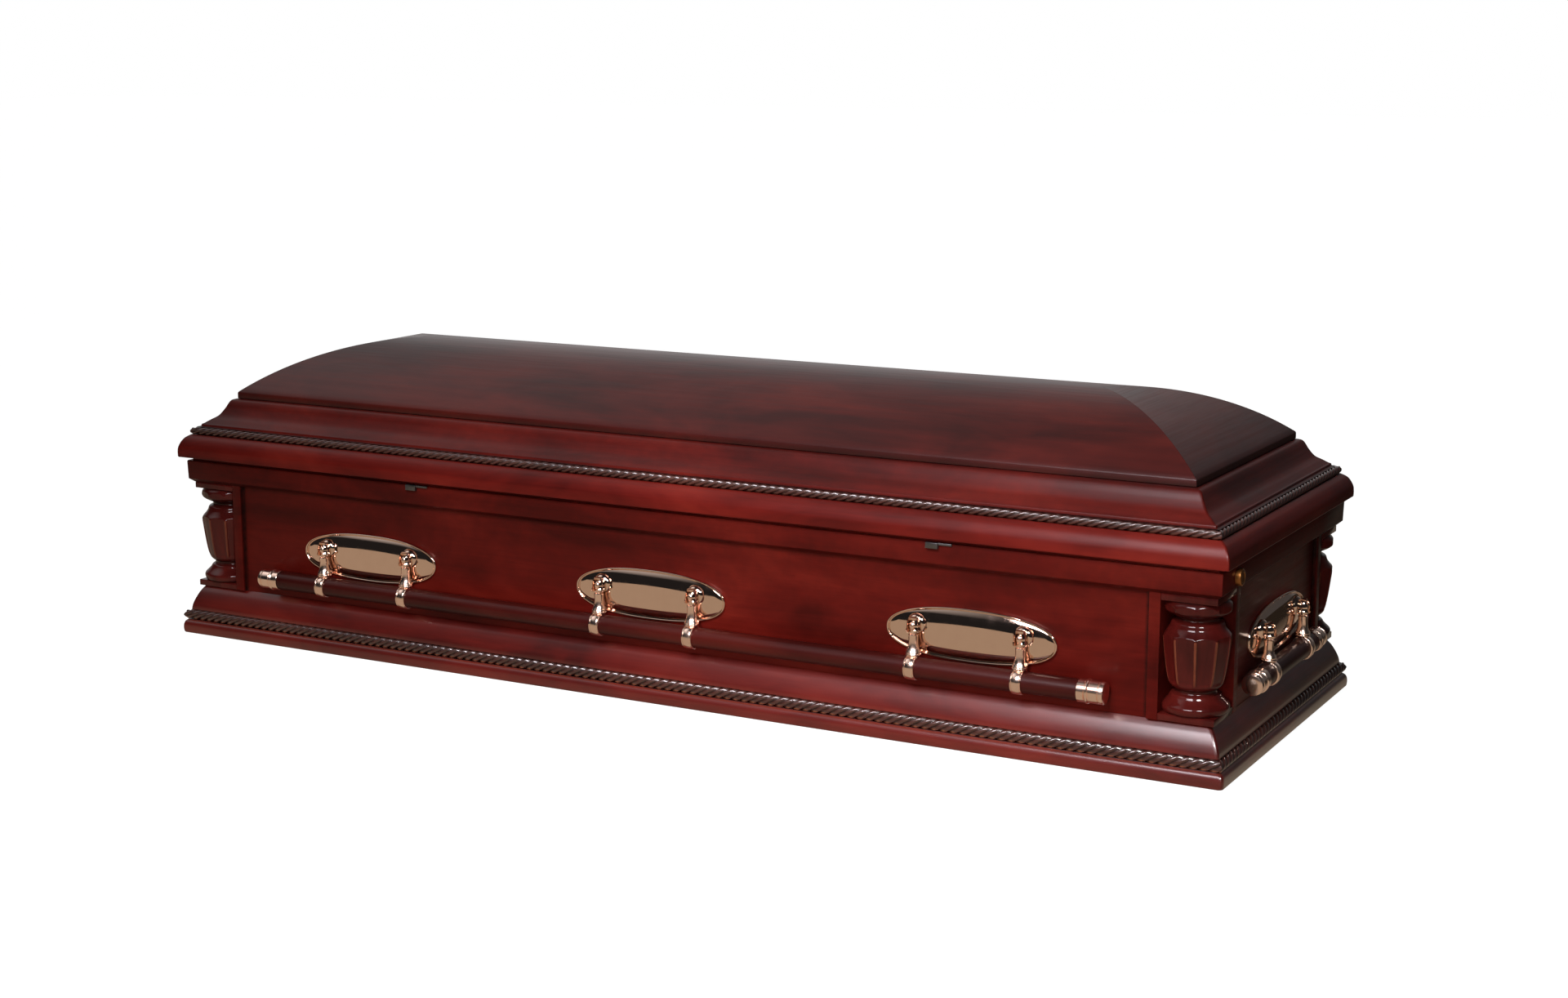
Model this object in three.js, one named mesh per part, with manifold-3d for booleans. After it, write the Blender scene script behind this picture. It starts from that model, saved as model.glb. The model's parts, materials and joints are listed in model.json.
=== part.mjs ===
// A wooden funeral casket: a hollow body with urn columns standing in its corners, a hinged lid with
// a low hipped crown, rope-carved mouldings, and a swinging bar handle on each of the four sides.
// Millimetres, +Z up, the long front side towards -Y, the origin on the floor under the middle.

import * as THREE from 'three';
import { mergeVertices } from 'three/addons/utils/BufferGeometryUtils.js';
import Module from 'manifold-3d';

const wasm = await Module();
wasm.setup();

// The face of the top rail is the rectangle that everything is set out from.
// An offset is measured outwards from that face.
const railHalfLength = 1040;
const railHalfWidth = 336.5;

// Clearance between pieces that touch, and half of it on each side of a mitre.
const gap = 0.3;
const mitreGap = 0.2;

// Body walls: panels set back between stiles, with a square niche at each corner for its column.
const stileOffset = -9.6;
const panelOffset = -17;
const wallInnerOffset = -36;
const nicheSize = 93;
const nicheBoard = 18.4;
const nicheEdge = nicheSize - stileOffset;
const nicheBack = nicheEdge + nicheBoard;
const bottomThickness = 19;

// Heights of the body.
const baseTop = 92.3;
const nicheTop = 298;
const railFaceBottom = 305;
const railFaceTop = 339;
const railTop = 341;
const rimTop = 347.7;
const rimOffset = -8;
const railArris = { bottom: -1, top: -1.5 };

// Base moulding: a rounded lip, a rope and a quarter round that rises to the panels.
const lipOffset = 16.8;
const lipTop = 25;
const lipChamfer = 3;
const lipWaist = 13;
const baseRope = { bottom: [8.5, 26], top: [4.5, 45.5], crest: [14.3, 35.5] };
const quarterRoundRadius = 57.5;
const quarterRoundEnd = -16.2;
const baseMouldingTop = 91.8;

// Lid moulding: a bullnose over the rail, a rope, an ogee and the shelf that the crown stands on.
const lidBottom = 348;
const lidOffset = 13.3;
const bullnoseStart = 358;
const lidRope = { bottom: [-7, 390], top: [-12, 405.5], crest: [-5.2, 397.5] };
const ogeeStart = [-20.5, 412];
const ogeeEnd = [-69.5, 457];
const ogeeBends = [[-50, 424], [-55, 455]];
const ogeeFillet = [1, 0.8];
const lidArris = [1, 3];
const shelfInner = -92;
const lidInner = -40;

// Rope, broadly cut, with one strand here for four of the fine carving. Its pitch, and the share of
// the pitch that a groove leans over from its foot to its head.
const ropePitch = 64;
const ropeSlant = 0.5;

// Steps that each curve is drawn with.
const curveSteps = { lip: 2, quarterRound: 3, bullnose: 3, ogee: 6, crown: 9, cheek: 2 };

// Crown: a barrel vault whose ends are hipped at 45 degrees in plan, made of board of even thickness.
const crownOffset = -71.5;
const crownFoot = ogeeEnd[1] + gap;
const crownEdgeTop = 469.3;
const crownRidge = 565.3;
const crownBoard = 19;

// Urn columns: radius and height of each ring of the turning, and the square plates under and over it.
const plinthBottom = baseTop + gap;
const plinthTop = 103.8;
const abacusBottom = 286.3;
const abacusTop = nicheTop - gap;
const plateBury = 4;
const flutes = 10;
const fluteDepth = 2.6;
const fluteBearing = THREE.MathUtils.degToRad(18);
const urnFoot = 150;
const urnShoulder = 223.5;
const turning = [
  [50, plinthTop - plateBury],
  [52.8, 117],
  [38, 134],
  [32.6, 143],
  [44, 162],
  [53.8, urnShoulder],
  [40.5, 247],
  [35, 257],
  [53, 270],
  [50, abacusBottom + plateBury],
];

// Handles: oval plates with a pair of lugs each, arms that swing in the lugs, and a bar through the arms.
const platePitch = 613.5;
const plateHeight = 188;
const plateHalfLength = 152;
const plateHalfHeight = 45;
const plateRoundness = 2.3;
const plateRise = 12;
const plateSides = 12;
const plateDome = [
  { share: 1, rise: 0 },
  { share: 1, rise: 0.25 },
  { share: 0.86, rise: 0.62 },
  { share: 0.5, rise: 1 },
];
const armSpread = 95;
const pivotOffset = 3;
const pivotHeight = 198.2;
const eyeRadius = 9;
const eyeWidth = 12;
const cheekRadius = 11.5;
const cheekWidth = 5.6;
const neckHalf = 5.8;
const neckLength = 12.3;
const shankHalf = { top: 8.2, bottom: 9.8 };
const shankSides = 4;
const shankClear = 2;
const smallSides = 8;
const barOffset = 4.5;
const barHeight = 128;
const barRadius = 17.5;
const barSides = 8;
const clipRadius = 21;
const clipWidth = 19;
const longBarHalf = 858;
const shortBarHalf = 184;
const tipLength = 46;
const tipWall = 1;
const tipRing = { place: 16, rise: 2, slope: 3 };
const tipDome = { length: 5, inset: 6 };

// Small metal on the body.
const catchPlaces = { left: -500, right: 550 };
const catchSize = { width: 22, height: 10, depth: 7, tail: 24, tailHeight: 4 };
const plugRadius = 14;
const plugLength = 9;
const plugChamfer = 2.5;
const plugPlace = { y: -264, z: 322 };
const hingeHalfLength = 880;
const hingeRadius = 3;
const hingeLeaf = 1.8;
const hingeOffset = 4;
const hingeHeight = 344.4;

const paints = {
  mahogany: { color: 0x5a1a14, roughness: 0.3, metalness: 0 },
  copper: { color: 0xd9a88c, roughness: 0.12, metalness: 1 },
  bronze: { color: 0xa05a28, roughness: 0.3, metalness: 1 },
  steel: { color: 0x3c3a3a, roughness: 0.4, metalness: 1 },
};

// A closed geometry from vertices and triangles, turned inside out if its faces point inwards.
function closedGeometry(vertices, triangles) {
  let volume = 0;
  for (const [a, b, c] of triangles) {
    volume += vertices[a].dot(vertices[b].clone().cross(vertices[c]));
  }
  const order = volume < 0 ? [0, 2, 1] : [0, 1, 2];
  const coordinates = vertices.flatMap((vertex) => vertex.toArray());
  const geometry = new THREE.BufferGeometry();
  geometry.setAttribute('position', new THREE.Float32BufferAttribute(coordinates, 3));
  geometry.setIndex(triangles.flatMap((triangle) => order.map((k) => triangle[k])));
  return geometry;
}

// Triangles that close a loop of vertices, in the loop's own order, given its flat outline.
function capTriangles(outline, ids) {
  const order = THREE.ShapeUtils.area(outline) < 0 ? [0, 2, 1] : [0, 1, 2];
  return THREE.ShapeUtils.triangulateShape(outline, []).map((face) => order.map((k) => ids[face[k]]));
}

// A solid through loops of equally many points, with its first and last loop closed.
function loft(loops, flatten) {
  const count = loops[0].length;
  const vertices = loops.flat();
  const triangles = [];
  for (let row = 0; row < loops.length - 1; row += 1) {
    for (let k = 0; k < count; k += 1) {
      const a = row * count + k;
      const b = row * count + ((k + 1) % count);
      triangles.push([a, b, b + count], [a, b + count, a + count]);
    }
  }
  const first = loops[0].map((_, k) => k);
  const last = first.map((k) => k + (loops.length - 1) * count);
  triangles.push(...capTriangles(loops[0].map(flatten), first).map(([a, b, c]) => [a, c, b]));
  triangles.push(...capTriangles(loops.at(-1).map(flatten), last));
  return closedGeometry(vertices, triangles);
}

// Upright prism through plan outlines, one for each height.
function uprightLoft(levels) {
  const loops = levels.map(({ plan, z }) => plan.map(([x, y]) => new THREE.Vector3(x, y, z)));
  return loft(loops, (v) => new THREE.Vector2(v.x, v.y));
}

function prism(plan, bottom, top) {
  return uprightLoft([{ plan, z: bottom }, { plan, z: top }]);
}

function box(low, high) {
  const size = high.map((value, k) => value - low[k]);
  const middle = high.map((value, k) => (value + low[k]) / 2);
  return new THREE.BoxGeometry(...size).translate(...middle);
}

// A turned solid with its axis along X, from points of radius against distance along the axis.
function turnedAlongX(points, sides) {
  const profile = points.map(([radius, along]) => new THREE.Vector2(radius, along));
  return new THREE.LatheGeometry(profile, sides).rotateZ(-Math.PI / 2);
}

function rodAlongX(halfLength, radius, sides) {
  const half = [[0, halfLength], [radius, halfLength]];
  const otherHalf = half.map(([distance, along]) => [distance, -along]);
  return turnedAlongX([...otherHalf, ...half.reverse()], sides);
}

// Vertices closer together than this are one vertex.
const weld = 1e-3;

function toSolid(geometry) {
  const bare = geometry.clone();
  bare.deleteAttribute('normal');
  bare.deleteAttribute('uv');
  const merged = mergeVertices(bare, weld);
  const vertProperties = new Float32Array(merged.attributes.position.array);
  const triVerts = new Uint32Array(merged.index.array);
  return new wasm.Manifold(new wasm.Mesh({ numProp: 3, vertProperties, triVerts }));
}

function toGeometry(solid) {
  const { vertProperties, triVerts } = solid.getMesh();
  const geometry = new THREE.BufferGeometry();
  geometry.setAttribute('position', new THREE.Float32BufferAttribute(vertProperties, 3));
  geometry.setIndex([...triVerts]);
  return geometry;
}

function join(...geometries) {
  return toGeometry(geometries.map(toSolid).reduce((whole, next) => whole.add(next)));
}

function cut(geometry, ...cutters) {
  return toGeometry(cutters.map(toSolid).reduce((whole, next) => whole.subtract(next), toSolid(geometry)));
}

function common(geometry, other) {
  return toGeometry(toSolid(geometry).intersect(toSolid(other)));
}

function piece(name, geometry, paint) {
  const mesh = new THREE.Mesh(geometry, new THREE.MeshStandardMaterial(paints[paint]));
  mesh.name = name;
  return mesh;
}

// The four sides, each built lying along X with its face towards -Y and then turned into place.
const sides = [
  { name: 'front', turn: 0, along: railHalfLength, across: railHalfWidth },
  { name: 'right', turn: Math.PI / 2, along: railHalfWidth, across: railHalfLength },
  { name: 'back', turn: Math.PI, along: railHalfLength, across: railHalfWidth },
  { name: 'left', turn: -Math.PI / 2, along: railHalfWidth, across: railHalfLength },
];

const mirrored = (half) => [...half, ...half.map(([x, y]) => [-x, y]).reverse()];

// Body walls

// Plan of a wall where it runs from mitre to mitre and fills the corners behind the niches.
function mitredPlan(side, offset) {
  const inner = side.along - nicheBack - mitreGap;
  return mirrored([
    [side.along + offset - mitreGap, -side.across - offset],
    [inner, nicheBack - side.across],
    [inner, -wallInnerOffset - side.across],
  ]);
}

// Plan of a wall between the niches: the panel, the stiles beside it and the boards behind the columns.
function nichePlan(side) {
  const inner = side.along - nicheBack - mitreGap;
  const edge = side.along - nicheEdge;
  return mirrored([
    [inner, -panelOffset - side.across],
    [inner, -stileOffset - side.across],
    [edge, -stileOffset - side.across],
    [edge, nicheEdge - side.across],
    [edge - mitreGap, nicheEdge - side.across],
    [inner, nicheBack - side.across],
    [inner, -wallInnerOffset - side.across],
  ]);
}

function wall(side) {
  const railSteps = [
    [stileOffset + gap, nicheTop],
    [railArris.bottom, railFaceBottom],
    [0, railFaceTop],
    [railArris.top, railTop],
    [rimOffset, railTop],
    [rimOffset, rimTop],
  ];
  const base = prism(mitredPlan(side, panelOffset - gap), 0, baseTop);
  const middle = prism(nichePlan(side), baseTop, nicheTop);
  const rail = uprightLoft(railSteps.map(([offset, z]) => ({ plan: mitredPlan(side, offset), z })));
  return join(base, middle, rail);
}

function bottomBoard() {
  const x = railHalfLength + wallInnerOffset - gap;
  const y = railHalfWidth + wallInnerOffset - gap;
  const notchX = railHalfLength - nicheBack - gap - mitreGap;
  const notchY = railHalfWidth - nicheBack - gap - mitreGap;
  const half = [[notchX, -y], [notchX, -notchY], [x, -notchY], [x, notchY], [notchX, notchY], [notchX, y]];
  return prism(mirrored(half), 0, bottomThickness);
}

// Mouldings

// A mitred length of moulding. The outline below the rope and the outline above it are joined by the
// rope, a row of slanting strands with a groove between each two.
function moulding(side, below, above, rope) {
  const outline = [...below, ...above];
  const ropeEdge = below.length - 1;
  const strands = Math.round((2 * (side.along + rope.crest[0])) / ropePitch);
  const vertices = [];
  const half = (offset) => side.along + offset - mitreGap;
  const addVertex = (offset, z, place) => {
    vertices.push(new THREE.Vector3((2 * place - 1) * half(offset), -side.across - offset, z));
    return vertices.length - 1;
  };

  const grooves = Array.from({ length: strands }, (_, k) => k / strands);
  const placesOf = (row) => {
    if (row === ropeEdge) return [...grooves, 1];
    if (row === ropeEdge + 1) return [0, ...grooves.map((place) => place + ropeSlant / strands), 1];
    return [0, 1];
  };
  const rowOf = ({ x, y }, row) => placesOf(row).map((place) => ({ place, id: addVertex(x, y, place) }));
  const rows = outline.map(rowOf);

  const triangles = [];
  rows.forEach((row, k) => {
    if (k === ropeEdge) return;
    triangles.push(...zip(row, rows[(k + 1) % rows.length]));
  });

  const lower = rows[ropeEdge].map(({ id }) => id);
  const upper = rows[ropeEdge + 1].map(({ id }) => id);
  triangles.push([lower[0], upper[1], upper[0]]);
  const toCrest = (1 + ropeSlant) / 2 / strands;
  grooves.forEach((place, k) => {
    const crest = addVertex(rope.crest[0], rope.crest[1], place + toCrest);
    const corners = [lower[k], lower[k + 1], upper[k + 2], upper[k + 1]];
    corners.forEach((corner, n) => triangles.push([corner, corners[(n + 1) % corners.length], crest]));
  });

  const leftEnd = rows.map((row) => row[0].id);
  const rightEnd = rows.map((row) => row.at(-1).id);
  triangles.push(...capTriangles(outline, leftEnd));
  triangles.push(...capTriangles(outline, rightEnd).map(([a, b, c]) => [a, c, b]));
  return closedGeometry(vertices, triangles);
}

// Triangles between two rows of vertices that share their ends, stepping along whichever row is behind.
function zip(lower, upper) {
  const triangles = [];
  let a = 0;
  let b = 0;
  while (a < lower.length - 1 || b < upper.length - 1) {
    const nextLower = a < lower.length - 1 ? lower[a + 1].place : Infinity;
    const nextUpper = b < upper.length - 1 ? upper[b + 1].place : Infinity;
    if (nextLower <= nextUpper) {
      triangles.push([lower[a].id, lower[a + 1].id, upper[b].id]);
      a += 1;
    } else {
      triangles.push([lower[a].id, upper[b + 1].id, upper[b].id]);
      b += 1;
    }
  }
  return triangles;
}

function baseMoulding(side) {
  const below = new THREE.Path();
  below.moveTo(panelOffset, 0);
  const neck = baseRope.bottom[0];
  below.lineTo(lipOffset - lipChamfer, 0);
  below.lineTo(lipOffset, lipChamfer);
  below.absellipse(neck, lipWaist, lipOffset - neck, lipTop - lipWaist, 0, Math.PI / 2);
  below.lineTo(...baseRope.bottom);

  const above = new THREE.Path();
  const centre = baseRope.top[0] - quarterRoundRadius;
  const sweep = Math.acos((quarterRoundEnd - centre) / quarterRoundRadius);
  above.absarc(centre, baseRope.top[1], quarterRoundRadius, 0, sweep);
  above.lineTo(quarterRoundEnd, baseMouldingTop);
  above.lineTo(panelOffset, baseMouldingTop);
  const lower = below.getPoints(curveSteps.lip);
  return moulding(side, lower, above.getPoints(curveSteps.quarterRound), baseRope);
}

function lidMoulding(side) {
  const below = new THREE.Path();
  const nose = lidRope.bottom[0];
  below.moveTo(lidInner, lidBottom);
  below.lineTo(lidOffset - lidArris[0], lidBottom);
  below.lineTo(lidOffset, lidBottom + lidArris[1]);
  below.absellipse(nose, bullnoseStart, lidOffset - nose, lidRope.bottom[1] - bullnoseStart, 0, Math.PI / 2);

  const above = new THREE.Path();
  above.moveTo(...lidRope.top);
  above.lineTo(ogeeStart[0] + ogeeFillet[0], lidRope.top[1] + ogeeFillet[1]);
  above.lineTo(...ogeeStart);
  above.bezierCurveTo(...ogeeBends.flat(), ...ogeeEnd);
  above.lineTo(shelfInner, ogeeEnd[1]);
  above.lineTo(shelfInner, ogeeEnd[1] - crownBoard);
  above.lineTo(lidInner, lidRope.bottom[1]);
  const lower = below.getPoints(curveSteps.bullnose);
  return moulding(side, lower, above.getPoints(curveSteps.ogee), lidRope);
}

// Crown of the lid

// Cross section of the vault, over its span, with square feet.
function crownSection(halfSpan) {
  const rise = crownRidge - crownEdgeTop;
  const radius = (halfSpan ** 2 + rise ** 2) / (2 * rise);
  const centre = crownRidge - radius;
  const inner = radius - crownBoard;
  const outerAngle = Math.acos(halfSpan / radius);
  const innerAngle = Math.asin((crownFoot - centre) / inner);
  const section = new THREE.Shape();
  section.moveTo(halfSpan, crownFoot);
  section.absarc(0, centre, radius, outerAngle, Math.PI - outerAngle);
  section.lineTo(-halfSpan, crownFoot);
  section.absarc(0, centre, inner, Math.PI - innerAngle, innerAngle, true);
  return section;
}

// Arched board along X over the given length, with its middle at the origin.
function crownArch(halfSpan, halfLength) {
  const settings = { depth: 2 * halfLength, bevelEnabled: false, curveSegments: curveSteps.crown };
  const arch = new THREE.ExtrudeGeometry(crownSection(halfSpan), settings);
  return arch.translate(0, 0, -halfLength).rotateX(Math.PI / 2).rotateZ(Math.PI / 2);
}

// Wedge of space in front of a hip, with its point on the ridge and its back past the end of the crown.
function hipWedge(tip, reach) {
  const plan = [[tip, 0], [tip + reach, -reach], [tip + reach, reach]];
  return prism(plan, 0, crownRidge + crownBoard);
}

function crownPieces() {
  const halfLength = railHalfLength + crownOffset;
  const halfSpan = railHalfWidth + crownOffset;
  const ridgeEnd = halfLength - halfSpan;
  const wedge = hipWedge(ridgeEnd, halfLength);
  const vault = cut(crownArch(halfSpan, halfLength), wedge, wedge.clone().rotateZ(Math.PI));
  const endArch = crownArch(halfSpan, halfLength).rotateZ(Math.PI / 2).translate(ridgeEnd, 0, 0);
  const end = common(endArch, hipWedge(ridgeEnd + 2 * mitreGap, halfLength));
  return [
    piece('crown_vault', vault, 'mahogany'),
    piece('crown_end_right', end, 'mahogany'),
    piece('crown_end_left', end.clone().rotateZ(Math.PI), 'mahogany'),
  ];
}

// Columns

// The turning, with flutes cut between narrow ridges down the sides of the urn.
function flutedTurning() {
  const sidesAround = 2 * flutes;
  const points = [[0, turning[0][1]], ...turning, [0, turning.at(-1)[1]]];
  const lathe = new THREE.LatheGeometry(points.map(([r, z]) => new THREE.Vector2(r, z)), sidesAround);
  lathe.rotateX(Math.PI / 2);
  const place = lathe.attributes.position;
  for (let k = 0; k < place.count; k += 1) {
    const inFlute = Math.floor(k / points.length) % 2 === 1;
    const height = place.getZ(k);
    if (inFlute && height > urnFoot && height < urnShoulder + 1) {
      const radius = Math.hypot(place.getX(k), place.getY(k));
      const shrink = (radius - fluteDepth) / radius;
      place.setXY(k, place.getX(k) * shrink, place.getY(k) * shrink);
    }
  }
  return lathe.rotateZ(fluteBearing);
}

// A column in its niche: the corner points to +X -Y, and the back is cut to fit the niche.
function column() {
  const half = nicheSize / 2 - gap;
  const front = nicheSize / 2;
  const plate = (bottom, top) => box([-half, -front, bottom], [front, half, top]);
  const bulge = turning.reduce((widest, [radius]) => Math.max(widest, radius), 0) + gap;
  const whole = join(plate(plinthBottom, plinthTop), flutedTurning(), plate(abacusBottom, abacusTop));
  return common(whole, box([-half, -bulge, plinthBottom], [bulge, half, abacusTop]));
}

function columns() {
  const inset = nicheEdge - nicheSize / 2;
  const corners = [
    { name: 'front_right', x: 1, y: -1, turn: 0 },
    { name: 'back_right', x: 1, y: 1, turn: Math.PI / 2 },
    { name: 'back_left', x: -1, y: 1, turn: Math.PI },
    { name: 'front_left', x: -1, y: -1, turn: -Math.PI / 2 },
  ];
  const shape = column();
  return corners.map(({ name, x, y, turn }) => {
    const mesh = piece(`column_${name}`, shape, 'mahogany');
    mesh.position.set(x * (railHalfLength - inset), y * (railHalfWidth - inset), 0);
    mesh.rotation.z = turn;
    return mesh;
  });
}

// Handles

// Outline of the oval plate at a share of its size, standing out from the panel by the given offset.
function ovalLoop(share, offset, side) {
  return Array.from({ length: plateSides }, (_, k) => {
    const angle = (2 * Math.PI * (k + 0.5)) / plateSides;
    const bend = (value) => Math.sign(value) * Math.abs(value) ** (2 / plateRoundness);
    const x = plateHalfLength * share * bend(Math.cos(angle));
    const z = plateHeight + plateHalfHeight * share * bend(Math.sin(angle));
    return new THREE.Vector3(x, -side.across - offset, z);
  });
}

// One cheek of a lug: a round-nosed web that stands out from the plate beside the arm's eye.
function cheek(middle, side) {
  const outline = new THREE.Shape();
  const root = panelOffset + plateRise / 2;
  outline.moveTo(root, pivotHeight - cheekRadius);
  outline.absarc(pivotOffset, pivotHeight, cheekRadius, -Math.PI / 2, Math.PI / 2);
  outline.lineTo(root, pivotHeight + cheekRadius);
  const settings = { depth: cheekWidth, bevelEnabled: false, curveSegments: curveSteps.cheek };
  const web = new THREE.ExtrudeGeometry(outline, settings);
  web.translate(0, 0, -cheekWidth / 2).rotateX(Math.PI / 2).rotateZ(-Math.PI / 2);
  return web.translate(middle, -side.across, 0);
}

function escutcheon(side) {
  const back = panelOffset + gap;
  const loops = plateDome.map(({ share, rise }) => ovalLoop(share, back + rise * (plateRise - gap), side));
  const plate = loft(loops, (v) => new THREE.Vector2(v.x, v.z));
  const apart = eyeWidth / 2 + gap + cheekWidth / 2;
  const middles = [-armSpread, armSpread].flatMap((x) => [x - apart, x + apart]);
  return join(plate, ...middles.map((middle) => cheek(middle, side)));
}

// An arm: an eye on the pivot, a square shank with a thin neck, and a clip that goes round the bar.
function arm(side) {
  const pivot = new THREE.Vector3(0, -side.across - pivotOffset, pivotHeight);
  const bar = new THREE.Vector3(0, -side.across - barOffset, barHeight);
  const run = bar.clone().sub(pivot);
  const shankLength = run.length() - barRadius - shankClear;
  const along = new THREE.Vector3(1, 0, 0);
  const turn = new THREE.Quaternion().setFromUnitVectors(along, run.clone().normalize());

  const eye = rodAlongX(eyeWidth / 2, eyeRadius, smallSides).translate(...pivot.toArray());

  const halfWidths = [
    [0, 0],
    [neckHalf, 0],
    [neckHalf, neckLength],
    [shankHalf.top, neckLength],
    [shankHalf.bottom, shankLength],
    [0, shankLength],
  ];
  const corners = halfWidths.map(([half, place]) => [half * Math.SQRT2, place]);
  const shank = turnedAlongX(corners, shankSides).rotateX(Math.PI / shankSides);
  shank.applyQuaternion(turn).translate(...pivot.toArray());

  const clip = rodAlongX(clipWidth / 2, clipRadius, barSides).translate(...bar.toArray());
  const bore = rodAlongX(clipWidth, barRadius + gap, barSides).translate(...bar.toArray());
  return cut(join(eye, shank, clip), bore);
}

function handleBar(halfLength, side) {
  return rodAlongX(halfLength, barRadius, barSides).translate(0, -side.across - barOffset, barHeight);
}

// Cap on the end of a bar: a sleeve, a raised ring, a plain stretch and a domed end.
function barTip(side) {
  const sleeve = barRadius + tipWall;
  const profile = [
    [0, 0],
    [sleeve, 0],
    [sleeve + tipRing.rise, tipRing.place],
    [sleeve, tipRing.place + tipRing.slope],
    [sleeve, tipLength - tipDome.length],
    [sleeve - tipDome.inset, tipLength],
    [0, tipLength],
  ];
  return turnedAlongX(profile, barSides).translate(0, -side.across - barOffset, barHeight);
}

function handle(side, plateMiddles, barHalf) {
  const group = new THREE.Group();
  const label = (kind, k, count) => `${kind}_${side.name}${count > 1 ? `_${k + 1}` : ''}`;
  plateMiddles.forEach((middle, k) => {
    const plate = piece(label('escutcheon', k, plateMiddles.length), escutcheon(side), 'copper');
    plate.position.x = middle;
    group.add(plate);
  });
  const armMiddles = plateMiddles.flatMap((middle) => [middle - armSpread, middle + armSpread]);
  armMiddles.forEach((middle, k) => {
    const swing = piece(label('handle_arm', k, armMiddles.length), arm(side), 'copper');
    swing.position.x = middle;
    group.add(swing);
  });
  const rodHalf = barHalf - tipLength - gap;
  group.add(piece(`handle_bar_${side.name}`, handleBar(rodHalf, side), 'mahogany'));
  [-1, 1].forEach((end, k) => {
    const tip = piece(`bar_tip_${side.name}_${k + 1}`, barTip(side), 'copper');
    if (end < 0) tip.geometry.rotateZ(Math.PI).translate(0, -2 * (side.across + barOffset), 0);
    tip.position.x = end * (barHalf - tipLength);
    group.add(tip);
  });
  group.rotation.z = side.turn;
  return group;
}

// Small metal

// Spring catch under the front edge of the lid: a block with a thin tongue to its right.
function lidCatch(place) {
  const face = -railHalfWidth - gap;
  const { width, height, depth, tail, tailHeight } = catchSize;
  const top = railTop + gap;
  const block = box([-width / 2, face - depth, top - height], [width / 2, face, top]);
  const tongue = box([0, face - depth / 2, top - tailHeight], [width / 2 + tail, face, top]);
  return join(block, tongue).translate(place, 0, 0);
}

function lockPlug() {
  const rim = plugLength - plugChamfer;
  const nose = plugRadius - plugChamfer;
  const profile = [[0, 0], [plugRadius, 0], [plugRadius, rim], [nose, plugLength], [0, plugLength]];
  return turnedAlongX(profile, barSides).translate(railHalfLength + gap, plugPlace.y, plugPlace.z);
}

// Barrel of the lid's hinge, with its leaf lying on the back rail in the seam under the lid.
function lidHinge() {
  const y = railHalfWidth + hingeOffset;
  const barrel = rodAlongX(hingeHalfLength, hingeRadius, smallSides).translate(0, y, hingeHeight);
  const bottom = railTop + gap;
  const leafBack = railHalfWidth + rimOffset + gap;
  const leaf = box([-hingeHalfLength, leafBack, bottom], [hingeHalfLength, y, bottom + hingeLeaf]);
  return join(barrel, leaf);
}

// The whole casket

function onSides(prefix, build) {
  return sides.map((side) => {
    const mesh = piece(`${prefix}_${side.name}`, build(side), 'mahogany');
    mesh.rotation.z = side.turn;
    return mesh;
  });
}

const casket = new THREE.Group();
casket.add(piece('bottom_board', bottomBoard(), 'mahogany'));
casket.add(...onSides('wall', wall));
casket.add(...onSides('base_moulding', baseMoulding));
casket.add(...columns());

for (const side of sides) {
  const isLong = side.along > side.across;
  const middles = isLong ? [-platePitch, 0, platePitch] : [0];
  casket.add(handle(side, middles, isLong ? longBarHalf : shortBarHalf));
}

for (const [name, place] of Object.entries(catchPlaces)) {
  casket.add(piece(`lid_catch_${name}`, lidCatch(place), 'steel'));
}
casket.add(piece('lock_plug', lockPlug(), 'bronze'));
casket.add(piece('lid_hinge', lidHinge(), 'steel'));

const lid = new THREE.Group();
lid.add(...onSides('lid_moulding', lidMoulding));
lid.add(...crownPieces());
casket.add(lid);

export default casket;
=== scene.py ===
# Looks of a mahogany funeral casket: fine mouldings, carved ropes, fluted columns and copper handles.
# Sizes are in millimetres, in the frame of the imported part, and are scaled to metres when a mesh is made.
import json
import math

import bmesh
import bpy
from mathutils import Matrix, Vector

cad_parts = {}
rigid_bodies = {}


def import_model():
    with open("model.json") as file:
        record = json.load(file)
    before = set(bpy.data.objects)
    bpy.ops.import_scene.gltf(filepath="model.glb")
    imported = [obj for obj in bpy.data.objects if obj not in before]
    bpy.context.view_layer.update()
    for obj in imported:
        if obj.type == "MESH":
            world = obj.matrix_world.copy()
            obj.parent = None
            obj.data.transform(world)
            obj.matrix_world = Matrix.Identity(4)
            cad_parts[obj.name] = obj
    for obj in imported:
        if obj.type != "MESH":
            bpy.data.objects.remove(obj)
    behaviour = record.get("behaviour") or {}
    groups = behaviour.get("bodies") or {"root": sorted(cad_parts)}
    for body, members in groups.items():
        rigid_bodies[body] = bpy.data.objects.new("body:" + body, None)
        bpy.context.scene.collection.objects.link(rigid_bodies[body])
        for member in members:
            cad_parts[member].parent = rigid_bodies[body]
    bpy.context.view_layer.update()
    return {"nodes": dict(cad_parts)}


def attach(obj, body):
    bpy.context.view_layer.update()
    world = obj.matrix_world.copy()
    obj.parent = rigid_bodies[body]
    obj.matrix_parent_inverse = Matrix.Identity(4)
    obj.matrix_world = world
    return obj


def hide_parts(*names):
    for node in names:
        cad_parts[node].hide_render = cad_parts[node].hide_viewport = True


for startObject in list(bpy.data.objects):
    bpy.data.objects.remove(startObject)

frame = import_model()
print("frame loaded:", len(frame["nodes"]), "nodes")

mm = 0.001
quarter = math.pi / 2
railHalf = {"length": 1040.0, "width": 336.5}
mitreGap = 0.2

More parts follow.
